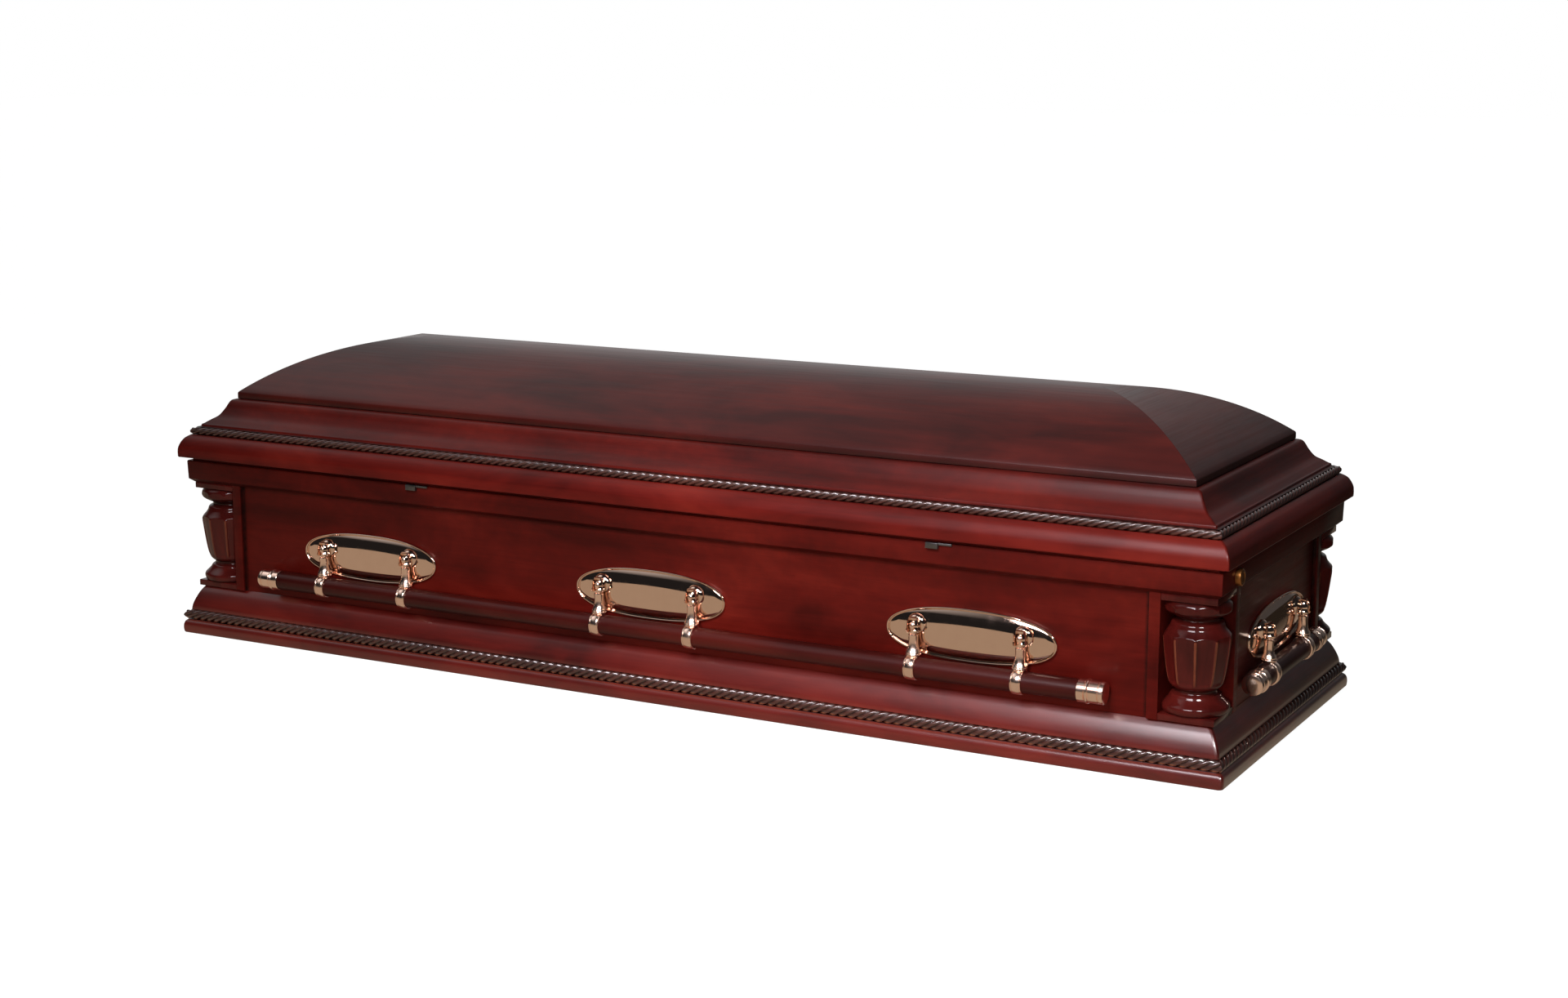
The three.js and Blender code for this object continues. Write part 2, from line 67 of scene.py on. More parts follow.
# Each side is made lying along X with its face towards -Y, then turned about Z into its place.
longSide = {"along": railHalf["length"], "across": railHalf["width"]}
shortSide = {"along": railHalf["width"], "across": railHalf["length"]}
sides = [
    {"name": "front", "turn": 0.0, **longSide},
    {"name": "right", "turn": quarter, **shortSide},
    {"name": "back", "turn": math.pi, **longSide},
    {"name": "left", "turn": -quarter, **shortSide},
]


def isLong(side):
    return side["along"] > side["across"]


# Shader and geometry node helpers

# Links a socket to another, or gives it a plain value.
def plug(tree, value, socket):
    if isinstance(value, bpy.types.NodeSocket):
        tree.links.new(value, socket)
    else:
        socket.default_value = value


def plugAll(tree, node, values):
    for key, value in values.items():
        plug(tree, value, node.inputs[key])


def addNode(tree, kind, inputs=None, **settings):
    node = tree.nodes.new(kind)
    for key, value in settings.items():
        setattr(node, key, value)
    plugAll(tree, node, inputs or {})
    return node


def calc(tree, operation, *values):
    return addNode(tree, "ShaderNodeMath", dict(enumerate(values)), operation=operation).outputs[0]


def times(tree, first, *others):
    for other in others:
        first = calc(tree, "MULTIPLY", first, other)
    return first


def mixColor(tree, factor, first, second):
    node = addNode(tree, "ShaderNodeMix", {"Factor": factor}, data_type="RGBA")
    colors = [socket for socket in node.inputs if socket.type == "RGBA"]
    plug(tree, first, colors[0])
    plug(tree, second, colors[1])
    return next(socket for socket in node.outputs if socket.type == "RGBA")


def spread(tree, value, low, high, newLow=0.0, newHigh=1.0):
    return addNode(tree, "ShaderNodeMapRange", {
        "Value": value, "From Min": low, "From Max": high, "To Min": newLow, "To Max": newHigh,
    }, clamp=True).outputs["Result"]


# Noise that comes so many times in a metre along each axis, with its detail, roughness and distortion.
def noise(tree, vector, look):
    place = addNode(tree, "ShaderNodeMapping", {"Vector": vector, "Scale": look["scale"]}).outputs["Vector"]
    detail, roughness, distortion = look["noise"]
    return addNode(tree, "ShaderNodeTexNoise", {
        "Vector": place, "Scale": 1.0, "Detail": detail, "Roughness": roughness, "Distortion": distortion,
    }).outputs["Fac"]


# The product of ramps, each along the axis it is named after.
def ramps(tree, vector, limits):
    place = addNode(tree, "ShaderNodeSeparateXYZ", {"Vector": vector}).outputs
    return times(tree, *[spread(tree, place[axis], *limit) for axis, limit in limits.items()])


# Named sockets of a node group, given as label and kind.
def addSockets(group, direction, kinds):
    for label, kind in kinds.items():
        group.interface.new_socket(label, in_out=direction, socket_type="NodeSocket" + kind)


def newGroup(name, inputs, outputs):
    group = bpy.data.node_groups.new(name, "ShaderNodeTree")
    addSockets(group, "INPUT", inputs)
    addSockets(group, "OUTPUT", outputs)
    return group, group.nodes.new("NodeGroupInput"), group.nodes.new("NodeGroupOutput")


# Finishes

# Each feature is a noise, of which a part ("from") is spread over a range ("to"), or else over 0 to 1.
grainLook = {
    "figure": {"scale": (1.1, 26.0, 26.0), "noise": (6.0, 0.6, 0.7), "from": (0.36, 0.66), "to": (-0.5, 0.5)},
    "cloud": {"scale": (3.2, 7.5, 7.5), "noise": (4.0, 0.6, 0.4), "from": (0.34, 0.68), "to": (-0.5, 0.5)},
    "streak": {"scale": (5.0, 190.0, 190.0), "noise": (3.0, 0.6, 0.0), "from": (0.3, 0.7),
               "to": (-0.06, 0.06), "roughness": (0.38, 0.46), "height": 0.4},
    "pore": {"scale": (26.0, 900.0, 900.0), "noise": (2.0, 0.5, 0.0), "from": (0.6, 0.72), "to": (0.0, 0.3)},
}
wearAndShadePatches = {"scale": (60.0, 60.0, 60.0), "noise": (3.0, 0.55, 0.0), "from": (0.3, 0.7), "to": (0.65, 1.0)}
polishLook = {
    "cloudy": {"scale": (45.0, 45.0, 45.0), "noise": (4.0, 0.6, 0.0), "from": (0.4, 0.7)},
    "scratch": {"scale": (60.0, 900.0, 900.0), "noise": (2.0, 0.55, 0.0), "from": (0.62, 0.7)},
}


def feature(tree, vector, look):
    return spread(tree, noise(tree, vector, look), *look["from"], *look.get("to", ()))


# Stained grain: figure and fine pores run along X of the vector, with cloudy stain over them.
def makeGrainGroup():
    group, given, made = newGroup(
        "stainedGrain",
        {"Vector": "Vector", "Dark": "Color", "Middle": "Color", "Light": "Color", "Figure": "Float",
         "Cloud": "Float"},
        {"Color": "Color", "Roughness": "Float", "Height": "Float"},
    )
    look = given.outputs
    figure = times(group, feature(group, look["Vector"], grainLook["figure"]), look["Figure"])
    cloud = times(group, feature(group, look["Vector"], grainLook["cloud"]), look["Cloud"])
    fine = grainLook["streak"]
    streak = noise(group, look["Vector"], fine)
    streakShare = spread(group, streak, *fine["from"], *fine["to"])
    level = calc(group, "ADD", calc(group, "ADD", figure, cloud), streakShare)
    darkened = mixColor(group, spread(group, level, -0.5, 0.0), look["Dark"], look["Middle"])
    lightened = mixColor(group, spread(group, level, 0.0, 0.5), darkened, look["Light"])
    pores = feature(group, look["Vector"], grainLook["pore"])
    plugAll(group, made, {
        "Color": mixColor(group, pores, lightened, look["Dark"]),
        "Roughness": spread(group, streak, *fine["from"], *fine["roughness"]),
        "Height": calc(group, "SUBTRACT", times(group, streak, fine["height"]), pores),
    })
    return group


# Painted shade darkens grooves and corners (negative), and edges are rubbed thin by wear (positive), as the
# attribute on the points says.
def makeEdgeGroup():
    group, given, made = newGroup(
        "shadeInGroovesWearOnEdges",
        {"Color": "Color", "Groove": "Color", "Edge": "Color"},
        {"Color": "Color"},
    )
    wearAndShade = addNode(group, "ShaderNodeAttribute", attribute_name="wearAndShade").outputs["Fac"]
    place = addNode(group, "ShaderNodeTexCoord").outputs["Object"]
    patchy = feature(group, place, wearAndShadePatches)
    groove = times(group, spread(group, wearAndShade, 0.0, -1.0), patchy)
    edge = times(group, spread(group, wearAndShade, 0.0, 1.0), patchy)
    grooveShade = mixColor(group, groove, given.outputs["Color"], given.outputs["Groove"])
    plugAll(group, made, {"Color": mixColor(group, edge, grooveShade, given.outputs["Edge"])})
    return group


# Handling marks on polished metal: faint smears and a slight change of tone.
def makePolishGroup():
    group, given, made = newGroup(
        "handledPolish",
        {"Bright": "Color", "Dull": "Color", "Smear": "Float", "Gloss": "Float"},
        {"Color": "Color", "Roughness": "Float"},
    )
    place = addNode(group, "ShaderNodeTexCoord").outputs["Object"]
    marks = [feature(group, place, look) for look in polishLook.values()]
    smear = times(group, calc(group, "MAXIMUM", *marks), given.outputs["Smear"])
    plugAll(group, made, {
        "Color": mixColor(group, smear, given.outputs["Bright"], given.outputs["Dull"]),
        "Roughness": calc(group, "ADD", given.outputs["Gloss"], smear),
    })
    return group


# Stained wood of the panels, and how the other woods differ from it.
panelWood = {
    "dark": (0.044, 0.0029, 0.0020, 1),
    "middle": (0.097, 0.0058, 0.0036, 1),
    "light": (0.150, 0.0112, 0.0064, 1),
    # The groove colour is painted shade for grooves and corners. The edge colour is for edges rubbed thin by
    # wear.
    "groove": (0.0075, 0.0030, 0.0024, 1),
    "edge": (0.30, 0.070, 0.030, 1),
    "figure": 0.3,
    "cloud": 0.85,
    "specular": 0.08,
    "coat": 0.05,
    "coatRoughness": 0.22,
    "bump": 0.05,
    "bumpDepth": 0.3,
}

baseWood = dict(panelWood, specular=0.3, coat=0.95, coatRoughness=0.24)
lidWood = dict(panelWood, specular=0.14, coat=0.1, coatRoughness=0.24)
columnWood = dict(panelWood, dark=(0.030, 0.0028, 0.0022, 1), middle=(0.064, 0.0058, 0.0044, 1),
                  light=(0.100, 0.0100, 0.0070, 1), edge=(0.17, 0.042, 0.018, 1), specular=0.03, coat=0.55,
                  coatRoughness=0.08)
darkWood = dict(panelWood, dark=(0.026, 0.0022, 0.0016, 1), middle=(0.052, 0.0045, 0.0030, 1),
                light=(0.082, 0.0078, 0.0045, 1), specular=0.2, coat=0.18)
barWood = dict(panelWood, dark=(0.020, 0.0017, 0.0012, 1), middle=(0.041, 0.0036, 0.0024, 1),
               light=(0.064, 0.0061, 0.0036, 1), specular=0.15, coat=0.2)
# The rope's groove colour is the painted shade between its strands.
ropeWood = dict(panelWood, dark=(0.030, 0.0080, 0.0055, 1), middle=(0.052, 0.0140, 0.0090, 1),
                light=(0.078, 0.0220, 0.0140, 1), groove=(0.004, 0.0018, 0.0015, 1),
                edge=(0.42, 0.140, 0.060, 1), specular=0.5, coat=1.0, coatRoughness=0.16)

grainGroup = makeGrainGroup()
edgeGroup = makeEdgeGroup()
polishGroup = makePolishGroup()


def newMaterial(name):
    material = bpy.data.materials.new(name)
    material.use_nodes = True
    tree = material.node_tree
    shader = next(node for node in tree.nodes if node.type == "BSDF_PRINCIPLED")
    return material, tree, shader


# Wood whose grain runs along the given axis.
def makeWood(name, turn, look):
    material, tree, shader = newMaterial(name)
    place = addNode(tree, "ShaderNodeTexCoord").outputs["Object"]
    mapping = addNode(tree, "ShaderNodeMapping", {"Vector": place, "Rotation": turn})
    grain = addNode(tree, "ShaderNodeGroup", {
        "Vector": mapping.outputs["Vector"],
        "Dark": look["dark"],
        "Middle": look["middle"],
        "Light": look["light"],
        "Figure": look["figure"],
        "Cloud": look["cloud"],
    }, node_tree=grainGroup).outputs
    edged = addNode(tree, "ShaderNodeGroup", {
        "Color": grain["Color"],
        "Groove": look["groove"],
        "Edge": look["edge"],
    }, node_tree=edgeGroup).outputs
    bump = addNode(tree, "ShaderNodeBump", {
        "Height": grain["Height"],
        "Strength": look["bump"],
        "Distance": look["bumpDepth"] * mm,
    }).outputs
    plugAll(tree, shader, {
        "Base Color": edged["Color"],
        "Roughness": grain["Roughness"],
        "Normal": bump["Normal"],
        "Specular IOR Level": look["specular"],
        "Coat Weight": look["coat"],
        "Coat Roughness": look["coatRoughness"],
    })
    return material


# The same wood with its grain along the casket and across it.
def makeWoods(name, look):
    return {
        "long": makeWood(name + "Long", (0, 0, 0), look),
        "cross": makeWood(name + "Cross", (0, 0, quarter), look),
    }


def makeMetal(name, bright, dull, gloss, smear):
    material, tree, shader = newMaterial(name)
    values = {"Bright": bright, "Dull": dull, "Gloss": gloss, "Smear": smear}
    polish = addNode(tree, "ShaderNodeGroup", values, node_tree=polishGroup).outputs
    plugAll(tree, shader, {
        "Base Color": polish["Color"],
        "Roughness": polish["Roughness"],
        "Metallic": 1.0,
    })
    return material


columnUpright = makeWood("columnUpright", (0, quarter, 0), columnWood)
panelWoods = makeWoods("panel", panelWood)
baseWoods = makeWoods("base", baseWood)
lidWoods = makeWoods("lid", lidWood)
darkWoods = makeWoods("dark", darkWood)
barWoods = makeWoods("bar", barWood)
ropeWoods = makeWoods("rope", ropeWood)
copper = makeMetal("roseCopper", (0.87, 0.64, 0.52, 1), (0.60, 0.38, 0.28, 1), gloss=0.05, smear=0.06)
castCopper = makeMetal("castCopper", (1.00, 0.74, 0.61, 1), (0.74, 0.46, 0.33, 1), gloss=0.18, smear=0.08)
bronze = makeMetal("satinBronze", (0.42, 0.17, 0.05, 1), (0.22, 0.09, 0.03, 1), gloss=0.28, smear=0.25)
steel = makeMetal("darkSteel", (0.16, 0.16, 0.16, 1), (0.05, 0.05, 0.05, 1), gloss=0.3, smear=0.3)
print("finishes made")


def sideWood(side, woods):
    return woods["long" if isLong(side) else "cross"]


# Mesh helpers

# Points nearer than a weld become one. What is smaller than a sliver counts as nothing.
weld = {"piece": 0.002, "copy": 0.01}
sliver = 0.001


def addObject(name, data):
    made = bpy.data.objects.new(name, data)
    bpy.context.scene.collection.objects.link(made)
    return made


def newShape():
    shape = bmesh.new()
    shape.verts.layers.float.new("wearAndShade")
    return shape


def addPoint(bm, place, wearAndShade=0.0):
    point = bm.verts.new(place)
    point[bm.verts.layers.float["wearAndShade"]] = wearAndShade
    return point


def turnAll(bm, angle):
    bmesh.ops.rotate(bm, verts=bm.verts, cent=(0, 0, 0), matrix=Matrix.Rotation(angle, 3, "Z"))


def moveAll(bm, move):
    bmesh.ops.translate(bm, verts=bm.verts, vec=move)


def fromMesh(mesh):
    bm = bmesh.new()
    bm.from_mesh(mesh)
    return bm


def toMesh(bm, name):
    mesh = bpy.data.meshes.new(name)
    bm.to_mesh(mesh)
    bm.free()
    return mesh


# Closes the seams of a mesh, scales it to metres and makes it a piece that rides on a body.
def finishPiece(bm, name, body, material, nodes=(), sharp=32.0):
    bmesh.ops.remove_doubles(bm, verts=bm.verts, dist=weld["piece"])
    bmesh.ops.dissolve_degenerate(bm, edges=bm.edges, dist=sliver)
    bmesh.ops.recalc_face_normals(bm, faces=bm.faces)
    bmesh.ops.scale(bm, vec=(mm, mm, mm), verts=bm.verts)
    mesh = toMesh(bm, name)
    mesh.polygons.foreach_set("use_smooth", [True] * len(mesh.polygons))
    mesh.set_sharp_from_angle(angle=math.radians(sharp))
    mesh.materials.append(material)
    piece = addObject(name + "_piece", mesh)
    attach(piece, body)
    if nodes:
        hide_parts(*nodes)


# A smooth line through the given points.
def smoothLine(points, steps):
    padded = [points[0], *points, points[-1]]
    line = []
    for k in range(1, len(padded) - 2):
        before, start, end, after = padded[k - 1:k + 3]
        for step in range(steps):
            t = step / steps
            line.append(tuple(
                0.5 * (2 * b + (c - a) * t + (2 * a - 5 * b + 4 * c - d) * t ** 2
                       + (3 * b - a - 3 * c + d) * t ** 3)
                for a, b, c, d in zip(before, start, end, after)
            ))
    line.append(tuple(points[-1]))
    return line


def arcLine(centre, radius, startAngle, endAngle, steps):
    angles = [startAngle + (endAngle - startAngle) * k / steps for k in range(steps + 1)]
    return [(centre[0] + radius * math.cos(a), centre[1] + radius * math.sin(a)) for a in angles]


# Closes rings of points into a solid: faces between the rings, and one over each end.
def skin(bm, rings):
    for first, second in zip(rings, rings[1:]):
        for k in range(len(first)):
            after = (k + 1) % len(first)
            bm.faces.new((first[k], first[after], second[after], second[k]))
    bm.faces.new(list(reversed(rings[0])))
    bm.faces.new(rings[-1])


# Stations of an end that is rubbed round: how far from the end, and how far drawn in, in rubbed widths.
rubbedSteps = [(1.2, 0.0), (1.0, 0.0), (0.0, 0.4)]


# A closed outline of (distance, height, mark), swept along X. The mark is wear where positive and painted
# shade where negative. Each point has its own half length.
def sweep(bm, outline, halfLength, place, rubbed=0.0):
    steps = rubbedSteps if rubbed else [(0.0, 0.0)]
    stations = [(-1, *step) for step in reversed(steps)] + [(1, *step) for step in steps]
    loops = []
    for sign, back, drawn in stations:
        loop = []
        for offset, height, wearAndShade in outline:
            sunk = offset - drawn * rubbed
            reach = halfLength(sunk) - back * rubbed
            loop.append(addPoint(bm, (sign * reach, place(sunk), height), wearAndShade))
        loops.append(loop)
    skin(bm, loops)


# A turned shape from (radius, distance) points, about an axis through the origin along +X of the matrix.
def lathe(bm, profile, segments, matrix, closed=False):
    rings = []
    for radius, along in profile:
        if radius < sliver:
            rings.append([addPoint(bm, matrix @ Vector((along, 0, 0)))])
            continue
        angles = [2 * math.pi * k / segments for k in range(segments)]
        rings.append([
            addPoint(bm, matrix @ Vector((along, radius * math.cos(a), radius * math.sin(a)))) for a in angles
        ])
    pairs = list(zip(rings, rings[1:]))
    if closed:
        pairs.append((rings[-1], rings[0]))
    for first, second in pairs:
        for k in range(segments):
            after = (k + 1) % segments
            corners = [first[k % len(first)], first[after % len(first)],
                       second[after % len(second)], second[k % len(second)]]
            unique = list(dict.fromkeys(corners))
            if len(unique) > 2:
                bm.faces.new(unique)


# Profile of a rod about its middle, with its ends eased.
def rodProfile(radius, half, easing):
    rightEnd = [(radius, half - easing), (radius - easing, half), (0, half)]
    return [(r, -along) for r, along in reversed(rightEnd)] + rightEnd


def cutThrough(bm, point, normal, clear=False):
    geometry = bm.verts[:] + bm.edges[:] + bm.faces[:]
    return bmesh.ops.bisect_plane(
        bm, geom=geometry, dist=sliver, plane_co=point, plane_no=normal, clear_outer=clear)


# Cuts off what lies beyond a plane and closes the cut.
def cutAway(bm, point, normal):
    result = cutThrough(bm, point, normal, clear=True)
    edges = [item for item in result["geom_cut"] if isinstance(item, bmesh.types.BMEdge)]
    bmesh.ops.edgeloop_fill(bm, edges=edges)


# A copy of a imported node with its triangles joined into flat faces and its edges eased.
# The eased edges are marked as worn where they stand out and darkened with painted shade where they lie in a
# corner.
def easedCopy(nodeName, width, wear=0.0, edgeAngle=0.3):
    bm = fromMesh(frame["nodes"][nodeName].data)
    wearAndShade = bm.verts.layers.float.new("wearAndShade")
    bmesh.ops.scale(bm, vec=(1 / mm, 1 / mm, 1 / mm), verts=bm.verts)
    bmesh.ops.remove_doubles(bm, verts=bm.verts, dist=weld["copy"])
    bmesh.ops.dissolve_limit(bm, angle_limit=math.radians(1), verts=bm.verts, edges=bm.edges)
    edges = [edge for edge in bm.edges
             if len(edge.link_faces) == 2 and edge.calc_face_angle() > edgeAngle]
    eased = bmesh.ops.bevel(bm, geom=edges, offset=width, offset_type="OFFSET", segments=2, profile=0.5,
                            affect="EDGES", clamp_overlap=True)
    bm.normal_update()
    easedFaces = set(eased["faces"])
    for vert in bm.verts:
        if all(face in easedFaces for face in vert.link_faces):
            sunk = sum((edge.other_vert(vert).co - vert.co).dot(vert.normal) for edge in vert.link_edges)
            vert[wearAndShade] = wear if sunk < 0 else -wear
    return bm


# Body: bottom board and walls

wallLook = {
    "easing": 0.9,
    # The wear lightens eased edges that stand out. The same amount darkens eased edges in corners as painted
    # shade.
    "wear": 0.6,
    "railFoot": 297.0,
    "railShade": -0.4,
    "panelSetBack": 17.0,
    "stileFromEnd": 121.2,
    "jointReach": 1.08,
    "jointWidth": 9.0,
    "jointShade": -1.2,
}


# Painted shadow: the corner between the panel and each stile is darkened where the stile's shadow falls,
# fading out over the panel.
def shadeJoints(bm, side):
    wearAndShade = bm.verts.layers.float["wearAndShade"]
    along, across = (0, 1) if isLong(side) else (1, 0)
    joint = side["along"] - wallLook["stileFromEnd"]
    depth = side["across"] - wallLook["panelSetBack"]
    for end in (-1, 1):
        cut = Vector((0, 0, 0))
        cut[along] = end * (joint - wallLook["jointWidth"])
        cutThrough(bm, cut, cut.normalized())
    for vert in bm.verts:
        fromJoint = max(abs(abs(vert.co[along]) - joint), abs(abs(vert.co[across]) - depth))
        if fromJoint < wallLook["jointReach"]:
            vert[wearAndShade] = wallLook["jointShade"]


bottomMesh = easedCopy("bottom_board", wallLook["easing"], wallLook["wear"])
finishPiece(bottomMesh, "bottom_board", "casket", panelWoods["long"], ["bottom_board"])
for side in sides:
    wallName = "wall_" + side["name"]
    wallMesh = easedCopy(wallName, wallLook["easing"], wallLook["wear"])
    shadeJoints(wallMesh, side)
    wearAndShade = wallMesh.verts.layers.float["wearAndShade"]
    # Painted shade: the rail under the lid's overhang is darkened.
    for vert in wallMesh.verts:
        if vert.co.z > wallLook["railFoot"]:
            vert[wearAndShade] += wallLook["railShade"]
    finishPiece(wallMesh, wallName, "casket", sideWood(side, panelWoods), [wallName])
print("body made")


# Mouldings and their ropes

baseLook = {
    "inner": -17.0,
    "rubbed": 5.0,
    "lipWear": 0.25,
    "wornPoints": 3,
    "lip": [(13.5, 0), (15.6, 1.4), (16.6, 6), (16.8, 12), (15.9, 18), (13.6, 22.6), (10.4, 25)],
    "rope": {"centre": (4.3, 35.5), "radius": 10.0, "bed": (-62, -272), "rubbed": 1.3},
    "quarterRound": [(4.5, 45.5), (4.2, 49), (3.0, 55), (-0.9, 66), (-7.2, 79), (-12.2, 86.4), (-16.0, 91.2)],
    "top": 91.8,
    "topEdge": -16.6,
    # The top strip against the panel is darkened with painted shade.
    "topShade": -0.6,
}

lidLook = {
    "inner": -40.0,
    "rubbed": 3.0,
    "foot": 348.0,
    "innerTop": 390.0,
    "shelf": -92.0,
    "board": 19.0,
    "nose": [(12.2, 348), (13.1, 349.2), (13.3, 353), (13.3, 359), (12.4, 367), (8.5, 377), (3, 385),
             (-6, 391)],
    # The third numbers of noseBack and ogeeFoot darken the corners beside the rope with painted shade. The
    # ogee and its back corner are darkened with painted shade too.
    "noseBack": (-7.4, 391.1, -0.8),
    "rope": {"centre": (-13.0, 397.6), "radius": 7.6, "bed": (-58, -262), "rubbed": 0.2},
    "ogeeFoot": (-17.6, 405.6, -0.9),
    "ogeeShade": -0.35,
    "ogee": [(-19.6, 406.6), (-20.6, 410.2), (-23.6, 411.6), (-32.6, 418), (-43.6, 425.6), (-52.4, 438.6),
             (-57.8, 449.4), (-62.1, 454.8), (-69.5, 457)],
    "ogeeBack": -71.0,
    "backShade": -0.8,
}

# The groove is a share of the radius, and the painted shade in it grows with a power of the strand's bulge.
# The underside is rubbed through between two shares of a turn.
ropeSizes = {
    "pitch": 17.1,
    "strandsInTurn": 4,
    "groove": 0.42,
    "grooveShadePower": 1.3,
    "play": 0.3,
    "bedSteps": 14,
    "rubFrom": -0.08,
    "rubTo": -0.13,
}


# Points of an outline, (distance, height), with the mark they share: wear where positive, painted shade where
# negative.
def withWearAndShade(points, wearAndShade=0.0):
    return [(x, z, wearAndShade) for x, z in points]


# Round groove that a rope lies in, from under it, round its back, to over it, darkened with painted shade.
def ropeBed(rope):
    radius = rope["radius"] + ropeSizes["play"]
    start, end = [math.radians(angle) for angle in rope["bed"]]
    return withWearAndShade(arcLine(rope["centre"], radius, start, end, ropeSizes["bedSteps"]), -1.0)


def baseOutline():
    lip = smoothLine(baseLook["lip"], steps=4)
    worn = baseLook["wornPoints"]
    outline = withWearAndShade([(baseLook["inner"], 0), *lip[:-worn]])
    outline += withWearAndShade(lip[-worn:], baseLook["lipWear"])
    outline += ropeBed(baseLook["rope"])
    outline += withWearAndShade(smoothLine(baseLook["quarterRound"], steps=5))
    top = [(baseLook["topEdge"], baseLook["top"]), (baseLook["inner"], baseLook["top"])]
    return outline + withWearAndShade(top, baseLook["topShade"])


def lidOutline():
    inner, shelf = lidLook["inner"], lidLook["shelf"]
    outline = withWearAndShade([(inner, lidLook["foot"]), *smoothLine(lidLook["nose"], steps=4)])
    outline += [lidLook["noseBack"], *ropeBed(lidLook["rope"]), lidLook["ogeeFoot"]]
    outline += withWearAndShade(smoothLine(lidLook["ogee"], steps=5), lidLook["ogeeShade"])
    top = lidLook["ogee"][-1][1]
    outline += [(lidLook["ogeeBack"], top, lidLook["backShade"])]
    return outline + withWearAndShade([(shelf, top), (shelf, top - lidLook["board"]), (inner, lidLook["innerTop"])])


def mouldings(prefix, outline, body, woods, rubbed):
    for side in sides:
        bm = newShape()
        sweep(bm, outline, lambda d: side["along"] + d - mitreGap, lambda d: -side["across"] - d,
              rubbed=rubbed)
        turnAll(bm, side["turn"])
        name = prefix + "_" + side["name"]
        finishPiece(bm, name, body, sideWood(side, woods), [name], sharp=40.0)


mouldings("base_moulding", baseOutline(), "casket", baseWoods, baseLook["rubbed"])
mouldings("lid_moulding", lidOutline(), "lid", lidWoods, lidLook["rubbed"])
print("mouldings made")


# New node tree for geometry, with its named inputs.
def newGeometryTree(name, inputs):
    tree = bpy.data.node_groups.new(name, "GeometryNodeTree")
    addSockets(tree, "INPUT", inputs)
    addSockets(tree, "OUTPUT", {"Geometry": "Geometry"})
    return tree, tree.nodes.new("NodeGroupInput").outputs


# Nodes that repeat a shape along X, centred on the origin, and give the row its material.
def addRow(tree, shape, given):
    startX = times(tree, calc(tree, "SUBTRACT", given["Count"], 1.0), 0.5, given["Pitch"], -1.0)
    start = addNode(tree, "ShaderNodeCombineXYZ", {"X": startX}).outputs["Vector"]
    step = addNode(tree, "ShaderNodeCombineXYZ", {"X": given["Pitch"]}).outputs["Vector"]
    line = addNode(tree, "GeometryNodeMeshLine",
                   {"Count": given["Count"], "Start Location": start, "Offset": step}, mode="OFFSET")
    row = addNode(tree, "GeometryNodeInstanceOnPoints", {"Points": line.outputs["Mesh"], "Instance": shape})
    real = addNode(tree, "GeometryNodeRealizeInstances", {"Geometry": row.outputs["Instances"]})
    finished = addNode(tree, "GeometryNodeSetMaterial",
                       {"Geometry": real.outputs["Geometry"], "Material": given["Finish"]})
    made = tree.nodes.new("NodeGroupOutput")
    tree.links.new(finished.outputs["Geometry"], made.inputs["Geometry"])


# Node tree of a rope: one carved strand winds once round the axis, and is repeated at the pitch.
def makeRopeTree():
    tree, given = newGeometryTree("carvedRope", {
        "Count": "Int", "Pitch": "Float", "Radius": "Float", "Groove": "Float",
        "Strands In Turn": "Int", "Rubbed": "Float", "Finish": "Material",
    })
    grid = addNode(tree, "GeometryNodeMeshGrid",
                   {"Size X": 1.0, "Size Y": 1.0, "Vertices X": 5, "Vertices Y": 15})
    place = addNode(tree, "GeometryNodeInputPosition").outputs["Position"]
    split = addNode(tree, "ShaderNodeSeparateXYZ", {"Vector": place}).outputs
    across, around = split["X"], split["Y"]
    angle = times(tree, around, 2 * math.pi)
    lead = times(tree, given["Pitch"], given["Strands In Turn"])
    wind = times(tree, around, lead)
    along = calc(tree, "ADD", times(tree, across, given["Pitch"]), wind)
    bulge = calc(tree, "POWER", calc(tree, "ABSOLUTE", times(tree, across, 2.0)), 2.0)
    drop = times(tree, bulge, given["Groove"], given["Radius"])
    radius = calc(tree, "SUBTRACT", given["Radius"], drop)
    outward = times(tree, calc(tree, "COSINE", angle), radius, -1.0)
    upward = times(tree, calc(tree, "SINE", angle), radius)
    wound = addNode(tree, "ShaderNodeCombineXYZ", {"X": along, "Y": outward, "Z": upward}).outputs["Vector"]

    # Painted shade, black in the grooves between strands, and wear rubbed through on the underside of each
    # strand.
    # It is stored on the flat strip, before the strip is wound.
    grooveShade = times(tree, calc(tree, "POWER", bulge, ropeSizes["grooveShadePower"]), -1.0)
    under = spread(tree, around, ropeSizes["rubFrom"], ropeSizes["rubTo"])
    bared = times(tree, calc(tree, "SUBTRACT", 1.0, bulge), given["Rubbed"])
    wearAndShade = calc(tree, "ADD", grooveShade, times(tree, under, bared))
    marked = addNode(tree, "GeometryNodeStoreNamedAttribute",
                     {"Geometry": grid.outputs["Mesh"], "Name": "wearAndShade"}, data_type="FLOAT")
    plug(tree, wearAndShade, next(s for s in marked.inputs if s.name == "Value" and s.enabled))
    strand = addNode(tree, "GeometryNodeSetPosition",
                     {"Geometry": marked.outputs["Geometry"], "Position": wound})
    addRow(tree, strand.outputs["Geometry"], given)
    return tree


# Node tree that repeats the mesh it is given.
def makeRowTree():
    tree, given = newGeometryTree("rowOfShapes", {
        "Geometry": "Geometry", "Count": "Int", "Pitch": "Float", "Finish": "Material",
    })
    addRow(tree, given["Geometry"], given)
    return tree


